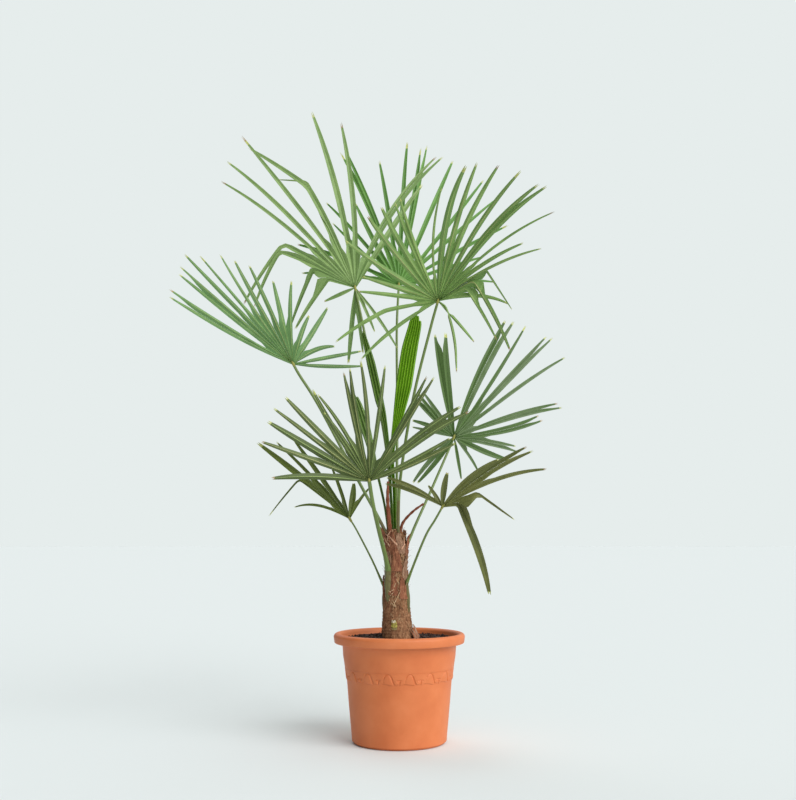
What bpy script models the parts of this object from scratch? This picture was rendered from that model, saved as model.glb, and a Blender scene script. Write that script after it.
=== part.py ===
# A windmill palm in its clay-coloured pot: pot, soil, trunk, leaf stalks, eight fan fronds,
# three young leaves and two old leaf bases. Metres, +Z up, seen from the front along +Y.
# The origin is the middle of the pot's flat underside.
import math

import bmesh
import bpy
from mathutils import Vector
from mathutils.bvhtree import BVHTree

GAP = 0.0003                # left between pieces that touch

POT_HEIGHT = 0.241
POT_RIM_RADIUS = 0.150
POT_LIP = 0.008             # radius of the rolled lip
POT_RIM_DEPTH = 0.022       # height of the rim band
POT_NECK_RADIUS = 0.131     # body just under the rim
POT_BAND_RADIUS = 0.1208    # body at the moulded band
POT_BAND_FOOT = 0.141
POT_BAND_TOP = 0.160
POT_BAND_RELIEF = 0.001
POT_FOOT_RADIUS = 0.107
POT_FOOT_ROUND = 0.009
POT_WALL = 0.0035
POT_FLOOR = 0.005
POT_STEPS = 48
NOTCH_COUNT = 4             # drain notches in the foot edge
NOTCH_WIDTH = 0.020
NOTCH_HEIGHT = 0.003
NOTCH_DEPTH = 0.014

SOIL_TOP = 0.228
SOIL_TO_WALL = 0.0004

TRUNK_SIDES = 12
# height, sideways shift of the middle, radius: flared foot, slim waist, shaggy shoulder, bent top
TRUNK_RINGS = (
    (0.2283, -0.001, 0.0395),
    (0.247, -0.005, 0.0352),
    (0.274, -0.0057, 0.0324),
    (0.308, -0.0068, 0.0296),
    (0.344, -0.0077, 0.0270),
    (0.384, -0.0080, 0.0242),
    (0.417, -0.0066, 0.0248),
    (0.440, -0.0066, 0.0270),
    (0.458, -0.0100, 0.0260),
    (0.472, -0.0120, 0.0235),
)
TRUNK_RIPPLE = 0.0008

LEAF_THICKNESS = 0.0108     # of a leaflet's reach
HUB_RADIUS = 0.0075
WEB_SHARE = 0.20            # of the reach over which neighbouring leaflets are fused
WEB_GAP = 24.0              # widest angle that is fused, degrees
WEB_THICKNESS = 0.0062
STALK_SIDES = 6
NUDGES = (0, 5, -5, 10, -10, 16, -16, 23, -23, 30, -30)

CLAY = (0.66, 0.24, 0.11)
SOIL_BROWN = (0.03, 0.015, 0.01)
BARK_BROWN = (0.20, 0.11, 0.06)
STALK_GREEN = (0.13, 0.20, 0.06)
LEAF_GREEN = (0.10, 0.22, 0.06)
YOUNG_GREEN = (0.16, 0.36, 0.03)
OLD_BROWN = (0.18, 0.07, 0.04)


def leaf(angle, reach, droop=6, sway=0, wide=12, bend=None):
    """One leaflet: fan angle and reach, then how far it droops and sways by its tip (degrees),
    its width (mm), and where it is snapped over and by how much."""
    return {"angle": angle, "reach": reach, "droop": droop, "sway": sway, "wide": wide / 1000, "bend": bend}


# hub: where the blade meets its stalk. swing: how far the leaflets stand back from the front plane,
# on the whole, more to the right, and more to the top (degrees).
# stalk: foot in the trunk, then the points it bends through. thick: the stalk at foot and hub.
FRONDS = {
    "top_right": {
        "hub": (0.088, -0.120, 0.990), "swing": (-10, -8, -18), "thick": (0.0045, 0.0036),
        "stalk": ((-0.003, -0.013, 0.462), (0.002, -0.030, 0.588), (0.031, -0.080, 0.768), (0.070, -0.110, 0.925)),
        "leaves": (
            leaf(89, 0.331, 33, -13, 15), leaf(79, 0.325, 8, -8), leaf(73, 0.338, 9, -13),
            leaf(63, 0.352, 17, -6, 11), leaf(53, 0.366, 29, 2, 20), leaf(45, 0.336, 19, -10, 6),
            leaf(40, 0.240, 12, -12, 9), leaf(33, 0.269, 16, -10, 7), leaf(31, 0.245, 0, 0, 6, (0.51, 87)),
            leaf(27, 0.282, 11, -3, 12, (0.32, 80)), leaf(20, 0.214, 9, 0, 10, (0.32, 74)),
            leaf(10, 0.170, 35, -8, 9), leaf(312, 0.127, 5, 0, 7), leaf(325, 0.177, 20, -7, 7, (0.10, 35)),
            leaf(103, 0.262, 8, -28, 6), leaf(120, 0.249, 5, -14, 17), leaf(130, 0.249, 0, -13, 15),
            leaf(138, 0.250, 5, -15, 14), leaf(154, 0.251, 0, -10, 13), leaf(164, 0.181, 6, -5, 11),
            leaf(174, 0.184, 10, -7, 10), leaf(189, 0.258, 20, -3, 10, (0.46, 14)), leaf(208, 0.222, 12, 9, 9)),
    },
    "front": {
        "hub": (-0.066, -0.150, 0.579), "swing": (-12, 6, -12), "thick": (0.0060, 0.0048),
        "stalk": ((-0.022, -0.012, 0.356), (-0.030, -0.036, 0.406), (-0.046, -0.080, 0.473), (-0.058, -0.125, 0.528)),
        "leaves": (
            leaf(174, 0.218, 13, 1, 15), leaf(160, 0.258, 0, 2), leaf(153, 0.265, 5, -9, 16),
            leaf(144, 0.272, 4, -4, 11), leaf(138, 0.270, 3, -7, 14), leaf(127, 0.247, 3, -12, 10),
            leaf(120, 0.193, 12, 0, 8), leaf(113, 0.235, 10, 10, 9), leaf(104, 0.265, 8, -8, 17),
            leaf(89, 0.280, 10, 8, 10), leaf(80, 0.268, 9, 5, 10), leaf(57, 0.275, 4, 6, 17),
            leaf(43, 0.271, 11, -6, 24), leaf(20, 0.210, 2, 12, 18)),
    },
    "low_right": {
        "hub": (0.097, -0.100, 0.526), "swing": (-5, -15, -5), "thick": (0.0045, 0.0036),
        "stalk": ((0.010, -0.008, 0.330), (0.024, -0.022, 0.372), (0.058, -0.070, 0.458), (0.080, -0.090, 0.496)),
        "leaves": (
            leaf(146, 0.144, 13, 10, 17), leaf(123, 0.057, 5, 0, 9), leaf(88, 0.078, 12, -7, 14),
            leaf(52, 0.171, 16, -13, 11), leaf(40, 0.242, 13, -4, 18), leaf(32, 0.255, 18, -12, 10),
            leaf(21, 0.188, 0, 0, 6, (0.44, 55)), leaf(10, 0.248, 15, -4, 18, (0.14, 72))),
    },
    "left": {
        "hub": (-0.250, -0.020, 0.862), "swing": (17, 37, 3), "thick": (0.0045, 0.0036),
        "stalk": ((-0.026, -0.006, 0.458), (-0.052, -0.008, 0.509), (-0.091, -0.012, 0.580), (-0.186, -0.018, 0.758),
                  (-0.234, -0.020, 0.834)),
        "leaves": (
            leaf(156, 0.333, 2, -11, 19), leaf(143, 0.348, 4, -7, 19), leaf(136, 0.364, 0, -2, 12),
            leaf(131, 0.340, 0, 0, 8), leaf(127, 0.318, -3, -4, 9), leaf(121, 0.294, -2, -1, 14),
            leaf(112, 0.272, -1, 6, 12), leaf(105, 0.229, 5, -3, 14), leaf(97, 0.247, 13, -7, 12),
            leaf(81, 0.163, 13, -2, 14), leaf(65, 0.220, 3, 5, 15), leaf(50, 0.174, 25, -4, 12),
            leaf(25, 0.276, 0, 0, 10), leaf(8, 0.272, 0, 8, 10)),
    },
    "low_left": {
        "hub": (-0.118, 0.060, 0.501), "swing": (13, -10, 4), "thick": (0.0042, 0.0032),
        "stalk": ((-0.022, 0.003, 0.318), (-0.038, 0.010, 0.350), (-0.064, 0.033, 0.405), (-0.100, 0.055, 0.472)),
        "leaves": (
            leaf(141, 0.302, 9, 0, 6, (0.57, 74)), leaf(138, 0.340, -3, 9, 16), leaf(132, 0.303, 7, 0, 9),
            leaf(125, 0.270, 1, 2, 12), leaf(150, 0.165, 45, 0, 7), leaf(80, 0.093, 7, 11, 16),
            leaf(66, 0.095, 15, -6, 8), leaf(108, 0.150, 10, 0, 9)),
    },
    "right": {
        "hub": (0.134, 0.100, 0.701), "swing": (10, 15, 6), "thick": (0.0048, 0.0038),
        "stalk": ((0.006, 0.010, 0.425), (0.023, 0.020, 0.451), (0.038, 0.034, 0.486), (0.079, 0.070, 0.575),
                  (0.122, 0.100, 0.672)),
        "leaves": (
            leaf(99, 0.298, 8, -8, 30), leaf(69, 0.397, 2, -9, 26), leaf(54, 0.414, 5, 10, 10),
            leaf(47, 0.445, 8, 6, 18), leaf(39, 0.442, 14, 7, 10), leaf(23, 0.347, 10, 0, 18),
            leaf(6, 0.271, -4, 15, 18), leaf(354, 0.184, 12, 6, 17), leaf(334, 0.169, -5, 8, 15),
            leaf(313, 0.112, 20, 0, 8), leaf(280, 0.106, 0, 0, 9), leaf(237, 0.146, 5, -15, 12),
            leaf(222, 0.153, 10, 5, 12), leaf(124, 0.134, 4, -5, 12), leaf(135, 0.143, 1, -8, 19),
            leaf(153, 0.111, 11, 2, 12), leaf(166, 0.106, 6, -3, 8)),
    },
    "top_left": {
        "hub": (-0.109, 0.070, 1.069), "swing": (8, 5, 3), "thick": (0.0045, 0.0036),
        "stalk": ((-0.018, 0.007, 0.462), (-0.019, 0.012, 0.544), (-0.034, 0.028, 0.687), (-0.070, 0.052, 0.880)),
        "leaves": (
            leaf(137, 0.467, 24, -13, 10), leaf(131, 0.500, 19, -9, 12), leaf(121, 0.518, -10, 17, 12),
            leaf(115, 0.419, 7, -8, 10, (0.76, 51)), leaf(110, 0.511, 0, 15, 15, (0.59, 21)),
            leaf(98, 0.521, 1, 11, 16), leaf(89, 0.478, 0, 13, 14), leaf(74, 0.460, 0, -28, 18),
            leaf(62, 0.352, 5, 0, 15), leaf(143, 0.398, 16, 6, 12, (0.53, 79)),
            leaf(148, 0.367, 20, 5, 12, (0.57, 81)), leaf(153, 0.265, 10, 0, 12, (0.42, 90)),
            leaf(160, 0.219, 9, 2, 12, (0.31, 71)), leaf(204, 0.084, 0, 0, 10), leaf(265, 0.190, 0, 0, 12),
            leaf(277, 0.165, 0, 0, 9), leaf(296, 0.120, 5, 0, 8), leaf(309, 0.183, 10, 0, 8)),
    },
    "back": {
        "hub": (-0.001, 0.140, 1.094), "swing": (12, 5, 4), "thick": (0.0045, 0.0036),
        "stalk": ((-0.009, 0.013, 0.462), (-0.006, 0.026, 0.560), (-0.005, 0.075, 0.786), (-0.006, 0.120, 0.973)),
        "leaves": (
            leaf(107, 0.452, 1, 7, 18), leaf(119, 0.274, 2, -8, 13), leaf(127, 0.325, 13, -7, 10),
            leaf(137, 0.256, 1, -7, 9), leaf(97, 0.400, 6, 0, 12), leaf(88, 0.478, 9, -1, 12),
            leaf(80, 0.467, 7, 4, 17), leaf(68, 0.448, 10, 8, 13), leaf(53, 0.427, 3, 6, 11),
            leaf(46, 0.407, 8, 6, 10), leaf(35, 0.376, 6, 2, 10), leaf(25, 0.258, 6, 2, 10),
            leaf(12, 0.270, 14, 0, 11), leaf(150, 0.300, 14, 0, 12), leaf(164, 0.260, 18, 0, 12)),
    },
}

# half-opened leaves at the heart: the stalk's and blade's middle line, and the half widths along it
YOUNG = {
    "tall": {
        "line": ((-0.010, 0.000, 0.462), (-0.012, -0.003, 0.560), (-0.016, -0.006, 0.655), (-0.003, -0.010, 0.735),
                 (0.011, -0.014, 0.813), (0.024, -0.017, 0.896), (0.038, -0.020, 0.960), (0.040, -0.020, 1.000)),
        "half": (0.0035, 0.0035, 0.0045, 0.012, 0.019, 0.019, 0.015, 0.004),
    },
    "left": {
        "line": ((-0.014, -0.008, 0.464), (-0.019, -0.012, 0.543), (-0.024, -0.018, 0.640), (-0.035, -0.024, 0.729),
                 (-0.047, -0.029, 0.776), (-0.066, -0.033, 0.860), (-0.080, -0.034, 0.915), (-0.089, -0.034, 0.948)),
        "half": (0.0030, 0.0030, 0.0035, 0.006, 0.010, 0.010, 0.006, 0.002),
    },
    "pale": {
        "line": ((-0.024, 0.010, 0.458), (-0.034, 0.000, 0.530), (-0.050, -0.018, 0.600), (-0.068, -0.036, 0.670),
                 (-0.080, -0.044, 0.712), (-0.095, -0.050, 0.760), (-0.112, -0.052, 0.806)),
        "half": (0.0028, 0.0028, 0.0032, 0.009, 0.012, 0.009, 0.002),
    },
}

# brown leftovers of cut leaves: middle line and half widths
OLD_BASES = {
    "old_base_upright": (((-0.020, -0.013, 0.462), (-0.024, -0.016, 0.500), (-0.027, -0.017, 0.545),
                          (-0.026, -0.017, 0.586)), (0.0050, 0.0048, 0.0040, 0.0026)),
    "old_base_slanted": (((0.001, -0.004, 0.462), (0.008, -0.012, 0.490), (0.030, -0.026, 0.515),
                          (0.056, -0.032, 0.534)), (0.0040, 0.0034, 0.0030, 0.0022)),
}


def clear_scene():
    for old in list(bpy.data.objects):
        bpy.data.objects.remove(old, do_unlink=True)


def paint(thing, colour, roughness):
    finish = bpy.data.materials.new(thing.name)
    finish.use_nodes = True
    shader = finish.node_tree.nodes["Principled BSDF"]
    shader.inputs["Base Color"].default_value = (*colour, 1.0)
    shader.inputs["Roughness"].default_value = roughness
    thing.data.materials.clear()
    thing.data.materials.append(finish)


def make_object(name, mesh_data):
    mesh = bpy.data.meshes.new(name)
    bmesh.ops.recalc_face_normals(mesh_data, faces=mesh_data.faces)
    mesh_data.to_mesh(mesh)
    mesh_data.free()
    thing = bpy.data.objects.new(name, mesh)
    bpy.context.scene.collection.objects.link(thing)
    return thing


def lathe(name, profile, steps):
    """Turns a profile of (radius, height) points, which starts and ends on the axis."""
    data = bmesh.new()
    points = [data.verts.new((radius, 0.0, height)) for radius, height in profile]
    edges = [data.edges.new(pair) for pair in zip(points, points[1:])]
    bmesh.ops.spin(data, geom=points + edges, cent=(0, 0, 0), axis=(0, 0, 1), angle=2 * math.pi,
                   steps=steps, use_merge=True)
    bmesh.ops.remove_doubles(data, verts=data.verts, dist=0.00001)
    return make_object(name, data)


def boolean(thing, operation, others, solver="EXACT"):
    """Joins or cuts with a list of objects, applies it and removes them."""
    group = bpy.data.collections.new("cutters")
    bpy.context.scene.collection.children.link(group)
    for other in others:
        group.objects.link(other)
    step = thing.modifiers.new("Boolean", "BOOLEAN")
    step.operation = operation
    step.operand_type = "COLLECTION"
    step.collection = group
    step.solver = solver
    bpy.context.view_layer.update()
    shape = bpy.data.meshes.new_from_object(thing.evaluated_get(bpy.context.evaluated_depsgraph_get()))
    thing.modifiers.remove(step)
    thing.data = shape
    for other in others:
        bpy.data.objects.remove(other, do_unlink=True)
    bpy.data.collections.remove(group)


def keep_main_body(thing):
    """Fills the hollows that a union seals and drops its loose scraps: only the widest shell stays."""
    data = bmesh.new()
    data.from_mesh(thing.data)
    unseen = set(data.faces)
    shells = []
    while unseen:
        shell = {unseen.pop()}
        front = list(shell)
        while front:
            face = front.pop()
            for edge in face.edges:
                for beside in edge.link_faces:
                    if beside in unseen:
                        unseen.discard(beside)
                        shell.add(beside)
                        front.append(beside)
        corners = [corner.co for face in shell for corner in face.verts]
        spans = [max(c[axis] for c in corners) - min(c[axis] for c in corners) for axis in range(3)]
        shells.append((sum(spans), shell))
    shells.sort(key=lambda pair: pair[0])
    scraps = [face for _, shell in shells[:-1] for face in shell]
    bmesh.ops.delete(data, geom=scraps, context="FACES")
    loose = [corner for corner in data.verts if not corner.link_faces]
    bmesh.ops.delete(data, geom=loose, context="VERTS")
    data.to_mesh(thing.data)
    data.free()


def skin(rings, closed_ends=True):
    """Joins rings of points, all of one length, into a closed tube. A ring of one point is a tip."""
    data = bmesh.new()
    made = [[data.verts.new(point) for point in ring] for ring in rings]
    for near, far in zip(made, made[1:]):
        count = len(near)
        for index in range(count):
            after = (index + 1) % count
            if len(far) == 1:
                data.faces.new((near[index], near[after], far[0]))
            else:
                data.faces.new((near[index], near[after], far[after], far[index]))
    if closed_ends:
        data.faces.new(made[0])
        if len(made[-1]) > 1:
            data.faces.new(made[-1])
    return data


def smooth_line(points, per_span):
    """Points on a smooth curve through the given ones."""
    given = [Vector(point) for point in points]
    ends = [2 * given[0] - given[1]] + given + [2 * given[-1] - given[-2]]
    line = []
    for index in range(1, len(ends) - 2):
        before, start, end, after = ends[index - 1:index + 3]
        for step in range(per_span):
            t = step / per_span
            line.append(0.5 * (2 * start + (end - before) * t
                               + (2 * before - 5 * start + 4 * end - after) * t ** 2
                               + (3 * start - before - 3 * end + after) * t ** 3))
    line.append(given[-1])
    return line


def spread_widths(widths, per_span):
    """The same number of widths as smooth_line gives points."""
    out = []
    for start, end in zip(widths, widths[1:]):
        out.extend(start + (end - start) * step / per_span for step in range(per_span))
    return out + [widths[-1]]


def rod(line, half_widths, half_depths=None, sides=STALK_SIDES):
    """A closed rod along a line, with an upright oval section."""
    half_depths = half_depths or half_widths
    rings = []
    for index, point in enumerate(line):
        ahead = line[min(index + 1, len(line) - 1)] - line[max(index - 1, 0)]
        ahead.normalize()
        across = Vector((1, 0, 0)) - ahead * ahead.x
        across.normalize()
        deep = ahead.cross(across)
        ring = []
        for side in range(sides):
            turn = 2 * math.pi * (side + 0.5) / sides
            ring.append(point + across * half_widths[index] * math.cos(turn) + deep * half_depths[index] * math.sin(turn))
        rings.append(ring)
    return skin(rings)


def heading(swing, angle):
    """Direction of a leaflet at a fan angle, standing back from the front plane by the swing."""
    turn = math.radians(angle)
    back = math.radians(swing[0] + swing[1] * math.cos(turn) + swing[2] * math.sin(turn))
    return Vector((math.cos(back) * math.cos(turn), math.sin(back), math.cos(back) * math.sin(turn)))


def leaf_stations(frond, one, nudge, shares):
    """Middle points, sideways and upward directions of a leaflet at shares of its reach."""
    swing = (frond["swing"][0] + nudge, frond["swing"][1], frond["swing"][2])
    point = Vector(frond["hub"])
    steps = 40
    found = []
    wanted = list(shares)
    for step in range(steps + 1):
        share = step / steps
        angle = one["angle"] + one["sway"] * share
        ahead = heading(swing, angle)
        rise = math.degrees(math.asin(ahead.z)) - one["droop"] * share ** 1.6
        if one["bend"]:
            rise -= one["bend"][1] * min(max((share - one["bend"][0] + 0.03) / 0.06, 0), 1)
        rise = math.radians(max(rise, -88))
        level = Vector((ahead.x, ahead.y, 0)).normalized()
        tilted = level * math.cos(rise) + Vector((0, 0, math.sin(rise)))
        if wanted and share >= wanted[0] - 1e-6:
            fan = heading(swing, angle + 1) - ahead
            start = math.asin(ahead.z)
            upright = level * -math.sin(start) + Vector((0, 0, math.cos(start)))
            out = level.cross(Vector((0, 0, 1)))
            part_out = fan.dot(out)
            part_up = fan.dot(upright)
            across = out * part_out + (level * -math.sin(rise) + Vector((0, 0, math.cos(rise)))) * part_up
            across.normalize()
            found.append((point.copy(), across, tilted.cross(across)))
            wanted.pop(0)
        point = point + tilted * (one["reach"] / steps)
    return found


def leaflet(frond, one, nudge):
    """A slim three-sided blade from the hub to a pointed tip."""
    shares = [0.025, 0.3, 0.7, 1.0]
    widths = [0.45, 1.0, 0.75, 0.0]
    if one["bend"]:
        snap = one["bend"][0]
        shares = [0.025, max(snap - 0.05, 0.06), snap + 0.05, (snap + 1.05) / 2, 1.0]
        widths = [0.45, 0.95, 0.9, 0.65, 0.0]
    deep = max(LEAF_THICKNESS * one["reach"], 0.0022)
    rings = []
    for (middle, across, up), width in zip(leaf_stations(frond, one, nudge, shares), widths):
        if width == 0:
            rings.append([middle])
            continue
        half = one["wide"] * width / 2
        rings.append([middle + across * half + up * deep / 3, middle - up * deep * 2 / 3,
                      middle - across * half + up * deep / 3])
    return skin(rings)


def web(frond, near, far, near_nudge, far_nudge):
    """The fused part of the fan between two neighbouring leaflets."""
    share = WEB_SHARE * min(1.0, 0.6 + 0.4 * min(near["reach"], far["reach"]) / max(near["reach"], far["reach"]))
    a = leaf_stations(frond, near, near_nudge, [share])[0]
    b = leaf_stations(frond, far, far_nudge, [share])[0]
    hub = Vector(frond["hub"])
    up = (a[0] - hub).cross(b[0] - hub).normalized()
    half = up * WEB_THICKNESS / 2
    data = bmesh.new()
    top = [data.verts.new(point + half) for point in (hub, a[0], b[0])]
    low = [data.verts.new(point - half) for point in (hub, a[0], b[0])]
    data.faces.new(top)
    data.faces.new(low)
    for index in range(3):
        after = (index + 1) % 3
        data.faces.new((top[index], top[after], low[after], low[index]))
    return data


def tree_of(data):
    return BVHTree.FromBMesh(data)


def touches(data, taken):
    here = tree_of(data)
    return any(here.overlap(other) for other in taken)


def build_stalk(name, frond):
    """The leaf stalk, from inside the trunk to just short of the hub. It stops there, square on."""
    hub = Vector(frond["hub"])
    line = smooth_line(list(frond["stalk"]) + [frond["hub"]], 3)
    last = (hub - line[-2]).normalized()
    line[-1] = hub - last * (HUB_RADIUS + GAP)
    count = len(line) - 1
    foot, top = frond["thick"]
    widths = [foot + (top - foot) * index / count for index in range(count + 1)]
    return make_object(name, rod(line, widths)), last, top


def build_frond(name, frond, ahead, top, taken):
    """The fan: hub, leaflets and the webs between them, fused into one body."""
    hub = Vector(frond["hub"])
    seat = [hub - ahead * HUB_RADIUS, hub - ahead * HUB_RADIUS * 0.4, hub + ahead * HUB_RADIUS * 0.5, hub + ahead * HUB_RADIUS]
    pieces = [rod(seat, [top, HUB_RADIUS * 0.9, HUB_RADIUS * 0.9, top])]
    ordered = sorted(frond["leaves"], key=lambda one: one["angle"])
    kept = []
    for one in ordered:
        for nudge in NUDGES:
            data = leaflet(frond, one, nudge)
            if not touches(data, taken):
                pieces.append(data)
                kept.append((one, nudge))
                break
            data.free()
        else:
            print("left out", name, one["angle"])
    for (near, near_nudge), (far, far_nudge) in zip(kept, kept[1:] + kept[:1]):
        between = (far["angle"] - near["angle"]) % 360
        if 2 < between < WEB_GAP:
            data = web(frond, near, far, near_nudge, far_nudge)
            if touches(data, taken):
                data.free()
            else:
                pieces.append(data)
    objects = [make_object(name if index == 0 else "piece", data) for index, data in enumerate(pieces)]
    boolean(objects[0], "UNION", objects[1:], "MANIFOLD")
    keep_main_body(objects[0])
    return objects[0]


def build_pot():
    rim_low = POT_HEIGHT - POT_RIM_DEPTH
    lip_mid = POT_RIM_RADIUS - POT_LIP
    lip_height = POT_HEIGHT - POT_LIP
    band = POT_BAND_RADIUS + POT_BAND_RELIEF
    slope = (POT_NECK_RADIUS - POT_FOOT_RADIUS) / rim_low
    profile = [(0, 0), (POT_FOOT_RADIUS - POT_FOOT_ROUND, 0)]
    for step in range(1, 4):
        turn = math.radians(30 * step)
        profile.append((POT_FOOT_RADIUS - POT_FOOT_ROUND + POT_FOOT_ROUND * math.sin(turn),
                        POT_FOOT_ROUND - POT_FOOT_ROUND * math.cos(turn)))
    profile += [(POT_BAND_RADIUS - 0.002, POT_BAND_FOOT), (band, POT_BAND_FOOT + 0.0008),
                (band + 0.0016, POT_BAND_TOP), (band + 0.0008, POT_BAND_TOP + 0.0008),
                (POT_NECK_RADIUS, rim_low - 0.001), (POT_RIM_RADIUS - 0.004, rim_low),
                (POT_RIM_RADIUS - 0.001, rim_low + 0.003)]
    for step in range(0, 7):
        turn = math.radians(30 * step)
        profile.append((lip_mid + POT_LIP * math.cos(turn), lip_height + POT_LIP * math.sin(turn)))
    inner_neck = POT_NECK_RADIUS - POT_WALL
    inner_foot = inner_neck - slope * (rim_low - POT_FLOOR) - 0.001
    profile += [(inner_neck + 0.001, rim_low), (inner_foot, POT_FLOOR), (0, POT_FLOOR)]
    pot = lathe("pot", profile, POT_STEPS)
    notches = []
    for index in range(NOTCH_COUNT):
        turn = 2 * math.pi * index / NOTCH_COUNT - math.pi / 2
        data = bmesh.new()
        bmesh.ops.create_cube(data, size=1.0)
        for corner in data.verts:
            out = POT_FOOT_RADIUS + (corner.co.x - 0.5) * NOTCH_DEPTH + 0.002
            side = corner.co.y * NOTCH_WIDTH
            corner.co = (out * math.cos(turn) - side * math.sin(turn), out * math.sin(turn) + side * math.cos(turn),
                         (corner.co.z * 2) * NOTCH_HEIGHT)
        notches.append(make_object("notch", data))
    boolean(pot, "DIFFERENCE", notches, "MANIFOLD")
    keep_main_body(pot)
    return pot, inner_neck, inner_foot


def build_soil(inner_neck, inner_foot):
    rim_low = POT_HEIGHT - POT_RIM_DEPTH
    low = POT_FLOOR + GAP
    rate = (inner_neck + 0.001 - inner_foot) / (rim_low - POT_FLOOR)
    foot = inner_foot - SOIL_TO_WALL
    shoulder = foot + rate * (rim_low - low)
    return lathe("soil", [(0, low), (foot, low), (shoulder, rim_low - 0.001), (shoulder, SOIL_TOP), (0, SOIL_TOP)], POT_STEPS)


def build_trunk(swell=0.0, name="trunk"):
    rings = []
    for index, (height, shift, radius) in enumerate(TRUNK_RINGS):
        ring = []
        if index == len(TRUNK_RINGS) - 1:
            height += swell
        for side in range(TRUNK_SIDES):
            turn = 2 * math.pi * (side + 0.5) / TRUNK_SIDES
            reach = radius + swell * 1.04 + TRUNK_RIPPLE * math.sin(side * 2.7 + index * 1.9)
            ring.append(Vector((shift + reach * math.cos(turn), reach * math.sin(turn), height)))
        rings.append(ring)
    return make_object(name, skin(rings))


def build_young(name, plan):
    line = smooth_line(plan["line"], 2)
    widths = spread_widths(plan["half"], 2)
    depths = [max(min(width, 0.0035), 0.0022) for width in widths]
    return make_object(name, rod(line, widths, depths))


def mesh_tree(thing):
    data = bmesh.new()
    data.from_mesh(thing.data)
    tree = tree_of(data)
    data.free()
    return tree


def build():
    clear_scene()
    pot, inner_neck, inner_foot = build_pot()
    paint(pot, CLAY, 0.6)
    soil = build_soil(inner_neck, inner_foot)
    paint(soil, SOIL_BROWN, 0.95)
    trunk = build_trunk()
    paint(trunk, BARK_BROWN, 0.9)

    rising = []
    for name, plan in YOUNG.items():
        thing = build_young("young_leaf_" + name, plan)
        rising.append((thing, YOUNG_GREEN))
    for name, (points, widths) in OLD_BASES.items():
        thing = make_object(name, rod(smooth_line(points, 2), spread_widths(widths, 2)))
        rising.append((thing, OLD_BROWN))
    seats = {}
    for name, frond in FRONDS.items():
        thing, ahead, top = build_stalk("stalk_" + name, frond)
        seats[name] = (ahead, top)
        rising.append((thing, STALK_GREEN))
    for thing, colour in rising:
        boolean(thing, "DIFFERENCE", [build_trunk(GAP, "seat")])
        paint(thing, colour, 0.5)

    taken = [mesh_tree(thing) for thing in [pot, trunk] + [pair[0] for pair in rising]]
    for name, frond in FRONDS.items():
        thing = build_frond("frond_" + name, frond, *seats[name], taken)
        paint(thing, LEAF_GREEN, 0.45)
        taken.append(mesh_tree(thing))


build()
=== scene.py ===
import math
import random

import bmesh
import bpy
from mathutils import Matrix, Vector, noise


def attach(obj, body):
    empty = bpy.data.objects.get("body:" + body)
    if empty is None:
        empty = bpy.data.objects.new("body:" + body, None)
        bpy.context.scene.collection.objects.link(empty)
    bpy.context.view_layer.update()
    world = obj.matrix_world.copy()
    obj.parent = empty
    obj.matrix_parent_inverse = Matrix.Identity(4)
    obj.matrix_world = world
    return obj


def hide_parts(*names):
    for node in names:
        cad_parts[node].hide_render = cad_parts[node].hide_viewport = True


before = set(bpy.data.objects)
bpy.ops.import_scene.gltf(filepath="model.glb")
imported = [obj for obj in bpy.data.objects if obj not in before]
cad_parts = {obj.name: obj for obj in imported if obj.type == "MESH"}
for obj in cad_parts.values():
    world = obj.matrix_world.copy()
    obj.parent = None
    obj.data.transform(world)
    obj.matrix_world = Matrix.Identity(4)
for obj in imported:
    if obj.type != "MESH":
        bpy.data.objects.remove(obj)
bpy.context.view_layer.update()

print("windmill palm: frame loaded")


# helpers that every piece uses
def srgb(hexCode):
    # sRGB hex to the linear values that shaders want
    parts = [int(hexCode[i:i + 2], 16) / 255 for i in (1, 3, 5)]
    return tuple(c / 12.92 if c <= 0.04045 else ((c + 0.055) / 1.055) ** 2.4 for c in parts) + (1.0,)


def addNode(tree, kind, settings=None, links=None):
    # one node, its settings (socket or property names) and what feeds its sockets
    node = tree.nodes.new(kind)
    for key, value in (settings or {}).items():
        if key in node.inputs.keys():
            node.inputs[key].default_value = value
        else:
            setattr(node, key, value)
    for key, source in (links or {}).items():
        tree.links.new(source, node.inputs[key])
    return node


def newMaterial(name, **sockets):
    material = bpy.data.materials.new(name)
    material.use_nodes = True
    tree = material.node_tree
    shader = tree.nodes["Principled BSDF"]
    for key, value in sockets.items():
        shader.inputs[key.replace("_", " ")].default_value = value
    return material, tree, shader


def colourRamp(tree, factor, stops):
    node = addNode(tree, "ShaderNodeValToRGB", links={"Fac": factor})
    elements = node.color_ramp.elements
    while len(elements) < len(stops):
        elements.new(0.5)
    for element, (place, hexCode) in zip(elements, stops):
        element.position = place
        element.color = srgb(hexCode)
    return node


def noiseOn(tree, source, scale, detail, roughness=0.5, stretch=None):
    # fine or coarse noise on the piece's own coordinates, drawn out where stretch says so
    place = addNode(tree, "ShaderNodeTexCoord").outputs[source]
    if stretch:
        place = addNode(tree, "ShaderNodeMapping", {"Scale": stretch}, {"Vector": place}).outputs["Vector"]
    pattern = {"Scale": scale, "Detail": detail, "Roughness": roughness}
    return addNode(tree, "ShaderNodeTexNoise", pattern, {"Vector": place}).outputs["Fac"]


def emboss(tree, shader, height, strength, distance):
    bump = addNode(tree, "ShaderNodeBump", {"Strength": strength, "Distance": distance}, {"Height": height})
    tree.links.new(bump.outputs["Normal"], shader.inputs["Normal"])


def tint(tree, shader, factor, stops):
    tree.links.new(colourRamp(tree, factor, stops).outputs["Color"], shader.inputs["Base Color"])


def deselectAll():
    if bpy.context.object and bpy.context.object.mode != "OBJECT":
        bpy.ops.object.mode_set(mode="OBJECT")
    bpy.ops.object.select_all(action="DESELECT")


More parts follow.
